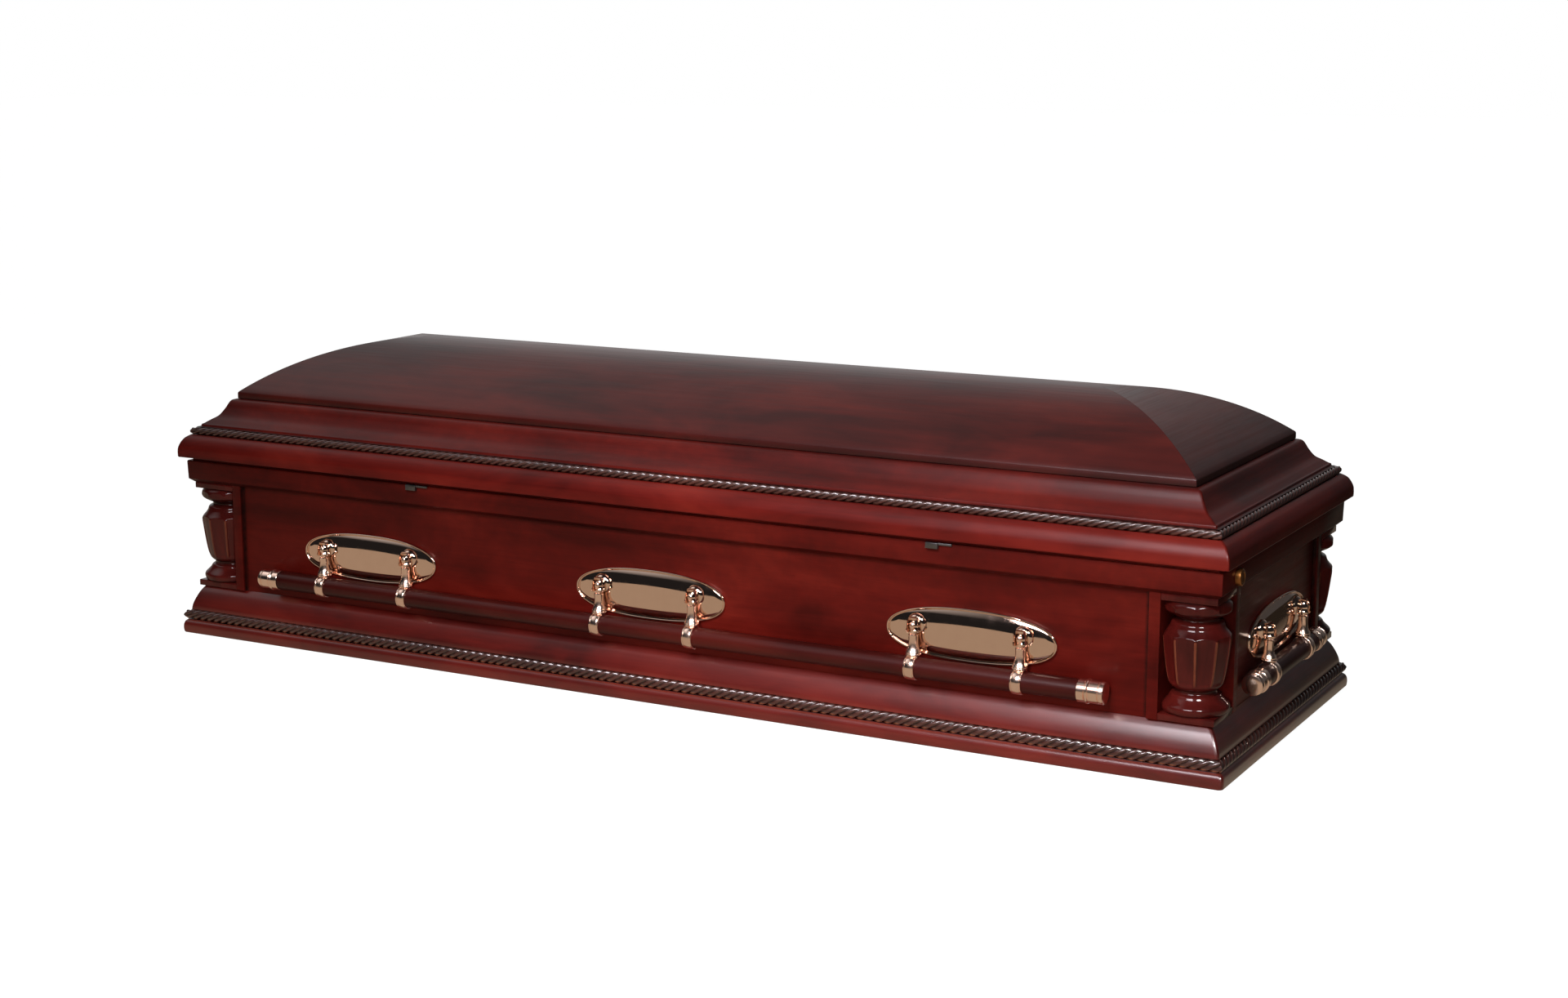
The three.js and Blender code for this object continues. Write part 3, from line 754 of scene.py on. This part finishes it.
# Runs a node tree with the given inputs and returns its result as a plain mesh.
def grownMesh(tree, values, seed=None):
    holder = addObject("grower", seed or bpy.data.meshes.new("grower"))
    modifier = holder.modifiers.new("grow", "NODES")
    modifier.node_group = tree
    for item in tree.interface.items_tree:
        if item.in_out == "INPUT" and item.name in values:
            modifier[item.identifier] = values[item.name]
    graph = bpy.context.evaluated_depsgraph_get()
    mesh = bpy.data.meshes.new_from_object(holder.evaluated_get(graph), depsgraph=graph)
    holder.modifiers.remove(modifier)
    bpy.data.objects.remove(holder)
    return mesh


ropeTree = makeRopeTree()


def ropes(prefix, rope, body):
    for side in sides:
        reach = side["along"] + rope["centre"][0] + rope["radius"]
        strands = 2 * math.ceil(reach / ropeSizes["pitch"]) + 2 * ropeSizes["strandsInTurn"]
        material = sideWood(side, ropeWoods)
        mesh = grownMesh(ropeTree, {
            "Count": strands,
            "Pitch": ropeSizes["pitch"],
            "Radius": rope["radius"],
            "Groove": ropeSizes["groove"],
            "Strands In Turn": ropeSizes["strandsInTurn"],
            "Rubbed": rope["rubbed"],
            "Finish": material,
        })
        bm = fromMesh(mesh)
        bmesh.ops.remove_doubles(bm, verts=bm.verts, dist=weld["copy"])
        moveAll(bm, (0, -side["across"] - rope["centre"][0], rope["centre"][1]))
        corner = (side["along"] - mitreGap, -side["across"], 0)
        cutAway(bm, corner, (1, 1, 0))
        cutAway(bm, (-corner[0], corner[1], 0), (-1, 1, 0))
        turnAll(bm, side["turn"])
        finishPiece(bm, prefix + "_" + side["name"], body, material, sharp=60.0)


ropes("base_rope", baseLook["rope"], "casket")
ropes("lid_rope", lidLook["rope"], "lid")
print("ropes carved")


# Crown of the lid

crownLook = {
    "offset": -71.5,
    "foot": 457.3,
    "edgeTop": 469.3,
    "ridge": 565.3,
    "board": 19.0,
    "easing": 1.6,
    "edgeRound": 0.3,
    "edgeShade": -0.2,
    "footEasing": 1.0,
    "footShade": -0.7,
    "steps": 28,
}


# Half of the crown's outline as (distance from the ridge, height), over the outside and back under it.
def crownHalf(halfSpan):
    rise = crownLook["ridge"] - crownLook["edgeTop"]
    radius = (halfSpan ** 2 + rise ** 2) / (2 * rise)
    centre = crownLook["ridge"] - radius
    inner = radius - crownLook["board"]
    easing = crownLook["easing"]
    outerAngle = math.acos(halfSpan / radius)
    innerAngle = math.asin((crownLook["foot"] - centre) / inner)
    outside = arcLine((0, centre), radius, quarter, outerAngle + easing / radius, crownLook["steps"])
    edgeTop = crownLook["edgeTop"]
    chamfer = easing * crownLook["edgeRound"]
    edge = [(halfSpan - chamfer, edgeTop - chamfer), (halfSpan, edgeTop - easing)]
    footEasing = crownLook["footEasing"]
    foot = [(halfSpan, crownLook["foot"] + footEasing), (halfSpan - footEasing, crownLook["foot"])]
    inside = arcLine((0, centre), inner, innerAngle, quarter, crownLook["steps"])
    # Painted shade darkens the crown's side face, a little at its top edge and most at its foot.
    edges = withWearAndShade(edge, crownLook["edgeShade"]) + withWearAndShade(foot, crownLook["footShade"])
    return withWearAndShade(outside) + edges + withWearAndShade(inside)


def crown():
    halfLength = railHalf["length"] + crownLook["offset"]
    halfSpan = railHalf["width"] + crownLook["offset"]
    ridgeEnd = halfLength - halfSpan
    half = crownHalf(halfSpan)
    mirrored = [(-x, z, wearAndShade) for x, z, wearAndShade in reversed(half)]
    outline = half[:-1] + mirrored[:-1]
    vault = newShape()
    sweep(vault, outline, lambda y: ridgeEnd + abs(y) - mitreGap, lambda y: y)
    finishPiece(vault, "crown_vault", "lid", darkWoods["long"], ["crown_vault"], sharp=25.0)
    for name, turn in (("crown_end_right", quarter), ("crown_end_left", -quarter)):
        end = newShape()
        sweep(end, half, lambda t: max(t - mitreGap, 0.0), lambda t: -ridgeEnd - t)
        turnAll(end, turn)
        finishPiece(end, name, "lid", darkWoods["cross"], [name], sharp=25.0)


crown()
print("crown made")


# Urn columns

columnLook = {
    "niche": 93.0,
    "gap": 0.3,
    "inset": 56.1,
    "plinth": (92.6, 103.8),
    "abacus": (286.3, 297.7),
    "foot": [(48.5, 103.8), (52, 105.4), (54, 109), (54.6, 113), (53.8, 116.6), (51.2, 119.6), (47.4, 123),
             (43.8, 126.6), (41.6, 129.4), (40.2, 132), (38.4, 133.8), (36, 134.8), (34.2, 136.4),
             (33.6, 138.6)],
    "urn": [(33.8, 140.8), (36, 142.6), (39, 144.8), (41.8, 148.2), (44, 153), (46.6, 161), (49.6, 177),
            (52.2, 195), (54.3, 212), (55.3, 220), (55.5, 223.4)],
    "shoulder": [(55.4, 226), (54.2, 229.2), (51.6, 232), (48.6, 235.2), (45.8, 238.8), (43.8, 242),
                 (42.9, 245), (42, 247.6), (40.4, 249.6), (38, 251), (35.6, 252), (34, 253.2), (33.4, 254.8)],
    "cap": [(34, 256.6), (36.8, 259), (41.5, 261.2), (47, 264), (51.6, 267.4), (54, 271), (54.4, 274.5),
            (53.6, 278.5), (50.9, 283), (47.4, 286.3)],
    "creases": [(104.5, 2.5), (139.0, 5.5), (255.2, 5.0), (286.0, 2.5)],
    "flutes": 10,
    "fluteDepth": 2.6,
    "flutePower": 3,
    "filletHalf": 0.055,
    "filletWear": 0.75,
    "fluteFoot": 149.0,
    "fluteFade": 7.0,
    "fluteHead": 226.0,
    "fluteHeadRadius": 55.4,
    "fluteSteps": 14,
    "easing": 1.0,
}

corners = [
    {"name": "front_right", "x": 1, "y": -1, "turn": 0.0, "bearing": 15.4},
    {"name": "back_right", "x": 1, "y": 1, "turn": quarter, "bearing": 15.4},
    {"name": "back_left", "x": -1, "y": 1, "turn": math.pi, "bearing": 15.4},
    {"name": "front_left", "x": -1, "y": -1, "turn": -quarter, "bearing": 28.7},
]


# Section of one flute and the fillet beside it: (share of the pitch, share of the depth, wear).
def fluteSection():
    half = columnLook["filletHalf"]
    steps = columnLook["fluteSteps"]
    wear = columnLook["filletWear"]
    section = [(0.0, 0.0, wear)]
    for k in range(steps + 1):
        across = -math.cos(math.pi * k / steps)
        depth = math.sqrt(1 - abs(across) ** columnLook["flutePower"])
        section.append((0.5 + (0.5 - half) * across, depth, 0.0 if 0 < k < steps else wear))
    return section


# How far the flutes have started at a height: none below their foot, full above it.
def fluteStart(height):
    share = min(max((height - columnLook["fluteFoot"]) / columnLook["fluteFade"], 0.0), 1.0)
    return share * share * (3 - 2 * share)


# Painted shade: darker in the creases at the necks and where the turning meets its plates.
def creaseShade(height):
    return -max(max(1 - abs(height - middle) / reach, 0.0) for middle, reach in columnLook["creases"])


def easedBox(bm, low, high, width):
    made = bmesh.ops.create_cube(bm, size=1.0)["verts"]
    size = [h - l for h, l in zip(high, low)]
    middle = [(h + l) / 2 for h, l in zip(high, low)]
    bmesh.ops.scale(bm, vec=size, verts=made)
    bmesh.ops.translate(bm, vec=middle, verts=made)
    edges = list({edge for vert in made for edge in vert.link_edges})
    bmesh.ops.bevel(bm, geom=edges, offset=width, segments=2, profile=0.5, affect="EDGES")


# The turned urn. A flute is a groove of even depth, so its head is an arc where it runs out on the shoulder.
def turning(bm, bearing):
    section = fluteSection()
    profile = columnLook["foot"] + columnLook["urn"] + columnLook["shoulder"] + columnLook["cap"]
    rings = []
    for radius, height in smoothLine(profile, 3):
        start = fluteStart(height)
        inHead = height > columnLook["fluteHead"]
        body = columnLook["fluteHeadRadius"] if inHead else radius
        ring = []
        for flute in range(columnLook["flutes"]):
            for share, depth, wear in section:
                angle = bearing + 2 * math.pi * (flute + share) / columnLook["flutes"]
                r = min(radius, body - columnLook["fluteDepth"] * depth * start)
                wearAndShade = creaseShade(height) if inHead else creaseShade(height) + wear * start
                ring.append(addPoint(bm, (r * math.sin(angle), -r * math.cos(angle), height), wearAndShade))
        rings.append(ring)
    skin(bm, rings)


def columns():
    half = columnLook["niche"] / 2
    back = half - columnLook["gap"]
    for corner in corners:
        bm = newShape()
        turning(bm, math.radians(corner["bearing"]) - corner["turn"])
        cutAway(bm, (-back, 0, 0), (-1, 0, 0))
        cutAway(bm, (0, back, 0), (0, 1, 0))
        for low, high in (columnLook["plinth"], columnLook["abacus"]):
            easedBox(bm, (-back, -half, low), (half, back, high), columnLook["easing"])
        turnAll(bm, corner["turn"])
        moveAll(bm, (
            corner["x"] * (railHalf["length"] - columnLook["inset"]),
            corner["y"] * (railHalf["width"] - columnLook["inset"]),
            0,
        ))
        name = "column_" + corner["name"]
        finishPiece(bm, name, "casket", columnUpright, [name], sharp=38.0)


columns()
print("columns turned")


# Handles

handleLook = {
    "platePitch": 613.5,
    "plateHeight": 188.0,
    "panel": -17.0,
    "halfLength": 152.0,
    "halfHeight": 45.0,
    "roundness": 2.3,
    "rim": [(0, 0.3), (0, 3.4), (0.4, 4.8), (1.4, 5.6), (2.6, 5.6), (3.5, 4.9), (4.1, 3.6), (5.0, 3.3),
            (5.8, 3.8)],
    "domeRise": 8.0,
    "domePower": 3.0,
    "domeSteps": 14,
    "plateAround": 128,
    "armSpread": 95.0,
    "pivot": (3.0, 198.2),
    "eye": [(0, -5.8), (4.2, -5.8), (6.8, -4.9), (8.2, -3.2), (8.9, -1.2), (8.9, 1.2), (8.2, 3.2), (6.8, 4.9),
            (4.2, 5.8), (0, 5.8)],
    "slotHalf": 6.3,
    "ear": [(0, 15.2), (3.6, 14.8), (7.2, 13), (9.9, 9.4), (11.3, 4.6), (11.8, 0), (12, -4.6), (12.8, -5.5),
            (13.3, -7), (13, -8.8), (12, -10.2), (11, -11), (0, -11)],
    "boss": [(0, -13), (18.5, -13), (17.6, -9.6), (15.6, -7.2), (13.6, -5.6), (11, -4.8), (0, -4.8)],
    "bossFoot": -10.4,
    "arch": {"inner": 10.0, "outer": 14.6, "front": 70.0, "back": 200.0, "overlap": 0.4, "steps": 16},
    "shank": [(0, 4), (6, 5), (6, 13.4), (7.6, 14.4), (8.5, 15.6), (8.4, 17.5), (8, 20), (7.9, 25), (8.3, 31),
              (9.4, 36.5), (11, 40.5), (12.4, 42.8), (12.9, 44), (12.6, 45.2), (12.1, 45.8), (12.8, 46.6),
              (13.2, 47.8), (12.9, 49.2), (12, 50.4), (11, 51.4), (0, 51.8)],
    "bar": (4.5, 128.0),
    "barRadius": 17.5,
    "barEasing": 1.0,
    "barGap": 0.3,
    "clip": [(17.9, -9.5), (19.5, -9.5), (20.3, -9), (20.3, -7.7), (19.7, -7.1), (20.6, -6.4), (21, -5.4),
             (21, 5.4), (20.6, 6.4), (19.7, 7.1), (20.3, 7.7), (20.3, 9), (19.5, 9.5), (17.9, 9.5)],
    "tip": [(0, 0), (18.2, 0), (18.9, 0.7), (18.9, 12), (17.7, 12.8), (19.4, 13.8), (20.4, 15.4), (20.4, 17),
            (19.4, 18.6), (17.7, 19.6), (18.7, 20.4), (18.7, 35.6), (17.3, 36.4), (17.3, 37.2), (18.7, 38),
            (18.7, 41.5), (17.6, 44.2), (14.5, 45.6), (9, 46), (0, 46)],
    "tipLength": 46.0,
    "longBarHalf": 858.0,
    "shortBarHalf": 184.0,
    "segments": 40,
    "barSegments": 64,
    "tipSegments": 56,
}


# A point on the axis of a handle's pivot or bar, so far along its side from the middle.
def handlePoint(side, along, axis):
    offset, height = handleLook[axis]
    return Vector((along, -side["across"] - offset, height))


def ovalRing(bm, halfLength, halfHeight, rise, side):
    ring = []
    count = handleLook["plateAround"]
    for k in range(count):
        angle = 2 * math.pi * k / count
        bend = 2 / handleLook["roundness"]
        x = halfLength * math.copysign(abs(math.cos(angle)) ** bend, math.cos(angle))
        z = halfHeight * math.copysign(abs(math.sin(angle)) ** bend, math.sin(angle))
        y = -side["across"] - handleLook["panel"] - rise
        ring.append(addPoint(bm, (x, y, handleLook["plateHeight"] + z)))
    return ring


# Oval plate: a rolled rim, a fine groove and a dome.
def plate(bm, side):
    length, height = handleLook["halfLength"], handleLook["halfHeight"]
    rings = [ovalRing(bm, length - inset, height - inset, rise, side) for inset, rise in handleLook["rim"]]
    inset, base = handleLook["rim"][-1]
    steps = handleLook["domeSteps"]
    for k in range(1, steps):
        share = 1 - k / steps
        rise = base + handleLook["domeRise"] * (1 - share ** handleLook["domePower"])
        rings.append(ovalRing(bm, (length - inset) * share, (height - inset) * share, rise, side))
    skin(bm, rings)


# A lug on its boss: two ears with a slot between them for the arm, and an arch over the slot.
def makeLug():
    lug = newShape()
    lathe(lug, handleLook["boss"], handleLook["segments"], Matrix.Rotation(-quarter, 4, "Z"))
    cutAway(lug, (0, 0, handleLook["bossFoot"]), (0, 0, -1))
    upright = Matrix.Rotation(-quarter, 4, "Y")
    half = handleLook["slotHalf"]
    for outward in (-1, 1):
        ear = newShape()
        lathe(ear, handleLook["ear"], handleLook["segments"], upright)
        cutAway(ear, (outward * half, 0, 0), (-outward, 0, 0))
        lug.from_mesh(toMesh(ear, "ear"))
    arch = handleLook["arch"]
    front, back = math.radians(arch["front"]), math.radians(arch["back"])
    over = arcLine((0, 0), arch["outer"], front, back, arch["steps"])
    under = arcLine((0, 0), arch["inner"], back, front, arch["steps"])
    sweep(lug, withWearAndShade(over + under), lambda d: half + arch["overlap"], lambda d: -d)
    return toMesh(lug, "lug")


lugMesh = makeLug()


def escutcheon(side, middle, name):
    bm = newShape()
    plate(bm, side)
    for reach in (-handleLook["armSpread"], handleLook["armSpread"]):
        before = len(bm.verts)
        bm.from_mesh(lugMesh)
        bmesh.ops.translate(bm, verts=list(bm.verts)[before:], vec=handlePoint(side, reach, "pivot"))
    moveAll(bm, (middle, 0, 0))
    turnAll(bm, side["turn"])
    finishPiece(bm, name, "casket", copper, [name], sharp=40.0)


def handleArm(side, middle, name):
    bm = newShape()
    pivot = handlePoint(side, middle, "pivot")
    bar = handlePoint(side, middle, "bar")
    segments = handleLook["segments"]
    lathe(bm, handleLook["eye"], segments, Matrix.Translation(pivot))
    toBar = Vector((1, 0, 0)).rotation_difference((bar - pivot).normalized()).to_matrix().to_4x4()
    lathe(bm, handleLook["shank"], segments, Matrix.Translation(pivot) @ toBar)
    lathe(bm, handleLook["clip"], segments, Matrix.Translation(bar), closed=True)
    turnAll(bm, side["turn"])
    finishPiece(bm, name, "handle_" + side["name"], castCopper, [name], sharp=35.0)


def handleBar(side, barHalf):
    bm = newShape()
    half = barHalf - handleLook["tipLength"] - handleLook["barGap"]
    profile = rodProfile(handleLook["barRadius"], half, handleLook["barEasing"])
    lathe(bm, profile, handleLook["barSegments"], Matrix.Translation(handlePoint(side, 0, "bar")))
    turnAll(bm, side["turn"])
    name = "handle_bar_" + side["name"]
    finishPiece(bm, name, "handle_" + side["name"], sideWood(side, barWoods), [name])


def barTip(side, barHalf, end, name):
    bm = newShape()
    start = handlePoint(side, end * (barHalf - handleLook["tipLength"]), "bar")
    turn = Matrix.Identity(4) if end > 0 else Matrix.Rotation(math.pi, 4, "Z")
    lathe(bm, handleLook["tip"], handleLook["tipSegments"], Matrix.Translation(start) @ turn)
    turnAll(bm, side["turn"])
    finishPiece(bm, name, "handle_" + side["name"], castCopper, [name], sharp=30.0)


def numbered(kind, side, k, count):
    return kind + "_" + side["name"] + ("_" + str(k + 1) if count > 1 else "")


for side in sides:
    pitch = handleLook["platePitch"]
    plateMiddles = [-pitch, 0.0, pitch] if isLong(side) else [0.0]
    armMiddles = [middle + reach for middle in plateMiddles
                  for reach in (-handleLook["armSpread"], handleLook["armSpread"])]
    barHalf = handleLook["longBarHalf"] if isLong(side) else handleLook["shortBarHalf"]
    for k, middle in enumerate(plateMiddles):
        escutcheon(side, middle, numbered("escutcheon", side, k, len(plateMiddles)))
    for k, middle in enumerate(armMiddles):
        handleArm(side, middle, numbered("handle_arm", side, k, len(armMiddles)))
    handleBar(side, barHalf)
    for k, end in enumerate((-1, 1)):
        barTip(side, barHalf, end, numbered("bar_tip", side, k, 2))
print("handles made")


# Small metal

plugLook = {
    "place": (1040.3, -264.0, 322.0),
    "profile": [(0, 0), (14, 0), (14, 6.6), (13.6, 7.8), (12.4, 8.7), (11.2, 9), (8.8, 9), (8.2, 8.4),
                (0, 8.2)],
    "segments": 48,
}
catchLook = {"easing": 0.6}

lockPlug = newShape()
lathe(lockPlug, plugLook["profile"], plugLook["segments"], Matrix.Translation(Vector(plugLook["place"])))
finishPiece(lockPlug, "lock_plug", "casket", bronze, ["lock_plug"])
for catchName in ("lid_catch_left", "lid_catch_right"):
    catchMesh = easedCopy(catchName, catchLook["easing"])
    finishPiece(catchMesh, catchName, "casket", steel, [catchName])

hingeLook = {
    "halfLength": 880.0,
    "axis": (0, 340.5, 344.4),
    "radius": 3.0,
    "knuckle": 40.0,
    "slit": 0.5,
    "easing": 0.4,
    "segments": 12,
    "leaf": {"y": (328.8, 340.5), "z": (341.3, 343.1), "easing": 0.3},
}


# Piano hinge: a row of knuckles on the lid's axis, over a leaf that lies on the back rail.
def lidHinge():
    half = hingeLook["knuckle"] / 2 - hingeLook["slit"]
    profile = rodProfile(hingeLook["radius"], half, hingeLook["easing"])
    knuckle = newShape()
    lathe(knuckle, profile, hingeLook["segments"], Matrix.Identity(4))
    row = grownMesh(makeRowTree(), {
        "Count": round(2 * hingeLook["halfLength"] / hingeLook["knuckle"]),
        "Pitch": hingeLook["knuckle"],
        "Finish": steel,
    }, toMesh(knuckle, "knuckle"))
    bm = fromMesh(row)
    moveAll(bm, hingeLook["axis"])
    leaf = hingeLook["leaf"]
    reach = hingeLook["halfLength"]
    easedBox(bm, (-reach, leaf["y"][0], leaf["z"][0]), (reach, leaf["y"][1], leaf["z"][1]), leaf["easing"])
    finishPiece(bm, "lid_hinge", "casket", steel, ["lid_hinge"])


lidHinge()
print("small metal made")


# Floor, light and camera

stageLook = {
    "floorHalf": 30.0,
    "floorToCamera": {"color": (0.2, 0.2, 0.2, 1), "glow": 0.97},
    "floorInMirror": (0.40, 0.32, 0.24, 1),
    "dimPart": {"X": (1.0, 1.3), "Y": (-0.2, 0.2)},
    "dimShare": 0.05,
    "floorToLight": (0.30, 0.28, 0.26, 1),
    "skyToCamera": (1.0, 1.0, 1.0, 1),
    "wallBehind": (0.90, 0.89, 0.89, 1),
    "ceilingLeft": (1.35, 1.32, 1.32, 1),
    "room": (0.015, 0.015, 0.016, 1),
}

# Where the pale wall and the pale ceiling set in and are full, by the direction's X, Y and Z.
skyLook = {
    "wall": {"Z": (0.9, 0.2), "Y": (0.2, 0.75), "X": (0.25, -0.5, 0.05, 1.0)},
    "ceiling": {"Z": (0.45, 0.8), "X": (-0.3, -0.65)},
}

# A fill light only brightens: it is not seen in reflections. The spark is seen only in reflections.
lightLook = [
    {"name": "key", "place": (0.6, -2.2, 1.8), "aim": (0.35, -0.3, 0.25), "size": (1.1, 0.8),
     "watts": 18, "spread": 85.0, "color": (1.0, 0.93, 0.99)},
    {"name": "fill", "place": (1.6, -4.0, 1.0), "aim": (0.4, -0.3, 0.25), "size": (1.6, 1.0),
     "watts": 10, "spread": 60.0, "color": (1.0, 0.97, 0.97), "mirrored": False},
    {"name": "backFill", "place": (-1.6, 4.0, 1.3), "aim": (-0.2, 0.3, 0.25), "size": (1.6, 1.0),
     "watts": 9, "spread": 60.0, "color": (1.0, 0.97, 0.97), "mirrored": False},
    {"name": "spark", "place": (2.1, -1.85, 1.8), "aim": (1.0, -0.3, 0.25), "size": (0.6, 0.35),
     "watts": 22, "spread": 120.0, "color": (1.0, 1.0, 1.0), "brightens": False},
]

cameraLook = {
    "place": (2.1661, -3.8280, 1.1556),
    "azimuth": 28.45,
    "down": 10.96,
    "roll": 0.07,
    "lens": 55.37,
    "sensor": 36.0,
}


# The floor is white with a faint shadow to the camera, beige in reflections, and dull to bounced light.
# Behind the right end it is dim in reflections.
def makeFloor():
    half = stageLook["floorHalf"]
    outline = [(-half, -half, 0), (half, -half, 0), (half, half, 0), (-half, half, 0)]
    mesh = bpy.data.meshes.new("floor")
    mesh.from_pydata(outline, [], [(0, 1, 2, 3)])
    material, tree, shader = newMaterial("paleFloor")
    ray = addNode(tree, "ShaderNodeLightPath").outputs
    seen = stageLook["floorToCamera"]
    black = (0, 0, 0, 1)
    unseenColor = mixColor(tree, ray["Is Glossy Ray"], stageLook["floorToLight"], black)
    color = mixColor(tree, ray["Is Camera Ray"], unseenColor, seen["color"])
    place = addNode(tree, "ShaderNodeTexCoord").outputs["Object"]
    dimmed = spread(tree, ramps(tree, place, stageLook["dimPart"]), 0.0, 1.0, 1.0, stageLook["dimShare"])
    mirrorShare = times(tree, ray["Is Glossy Ray"], dimmed)
    unseenGlow = mixColor(tree, mirrorShare, black, stageLook["floorInMirror"])
    glow = mixColor(tree, ray["Is Camera Ray"], unseenGlow, (seen["glow"], seen["glow"], seen["glow"], 1))
    plugAll(tree, shader, {
        "Base Color": color,
        "Emission Color": glow,
        "Emission Strength": 1.0,
        "Roughness": 0.9,
        "Specular IOR Level": 0.0,
    })
    mesh.materials.append(material)
    floor = addObject("floor", mesh)


# The surroundings are white to the camera. To all else they are a dark room with a pale wall behind the
# casket and a pale ceiling at the left.
def makeSky():
    world = bpy.data.worlds.new("studio")
    bpy.context.scene.world = world
    world.use_nodes = True
    tree = world.node_tree
    background = next(node for node in tree.nodes if node.type == "BACKGROUND")
    direction = addNode(tree, "ShaderNodeTexCoord").outputs["Generated"]
    ceiling = ramps(tree, direction, skyLook["ceiling"])
    shade = mixColor(tree, ceiling, stageLook["room"], stageLook["ceilingLeft"])
    room = mixColor(tree, ramps(tree, direction, skyLook["wall"]), shade, stageLook["wallBehind"])
    ray = addNode(tree, "ShaderNodeLightPath").outputs["Is Camera Ray"]
    color = mixColor(tree, ray, room, stageLook["skyToCamera"])
    plugAll(tree, background, {"Color": color})


def makeLights():
    for look in lightLook:
        data = bpy.data.lights.new(look["name"], "AREA")
        data.shape = "RECTANGLE"
        data.size, data.size_y = look["size"]
        data.energy = look["watts"]
        data.spread = math.radians(look["spread"])
        data.color = look["color"]
        light = addObject(look["name"], data)
        light.visible_camera = False
        light.visible_glossy = look.get("mirrored", True)
        light.visible_diffuse = look.get("brightens", True)
        light.location = look["place"]
        aim = Vector(look["aim"]) - Vector(look["place"])
        light.rotation_euler = aim.to_track_quat("-Z", "Y").to_euler()


def makeCamera():
    data = bpy.data.cameras.new("camera")
    data.lens = cameraLook["lens"]
    data.sensor_width = cameraLook["sensor"]
    camera = addObject("camera", data)
    turn = Matrix.Rotation(math.radians(cameraLook["azimuth"]), 4, "Z")
    tilt = Matrix.Rotation(quarter - math.radians(cameraLook["down"]), 4, "X")
    roll = Matrix.Rotation(math.radians(cameraLook["roll"]), 4, "Z")
    camera.matrix_world = Matrix.Translation(cameraLook["place"]) @ turn @ tilt @ roll
    bpy.context.scene.camera = camera


makeFloor()
makeSky()
makeLights()
makeCamera()
bpy.context.scene.view_settings.view_transform = "Standard"
print("stage set")
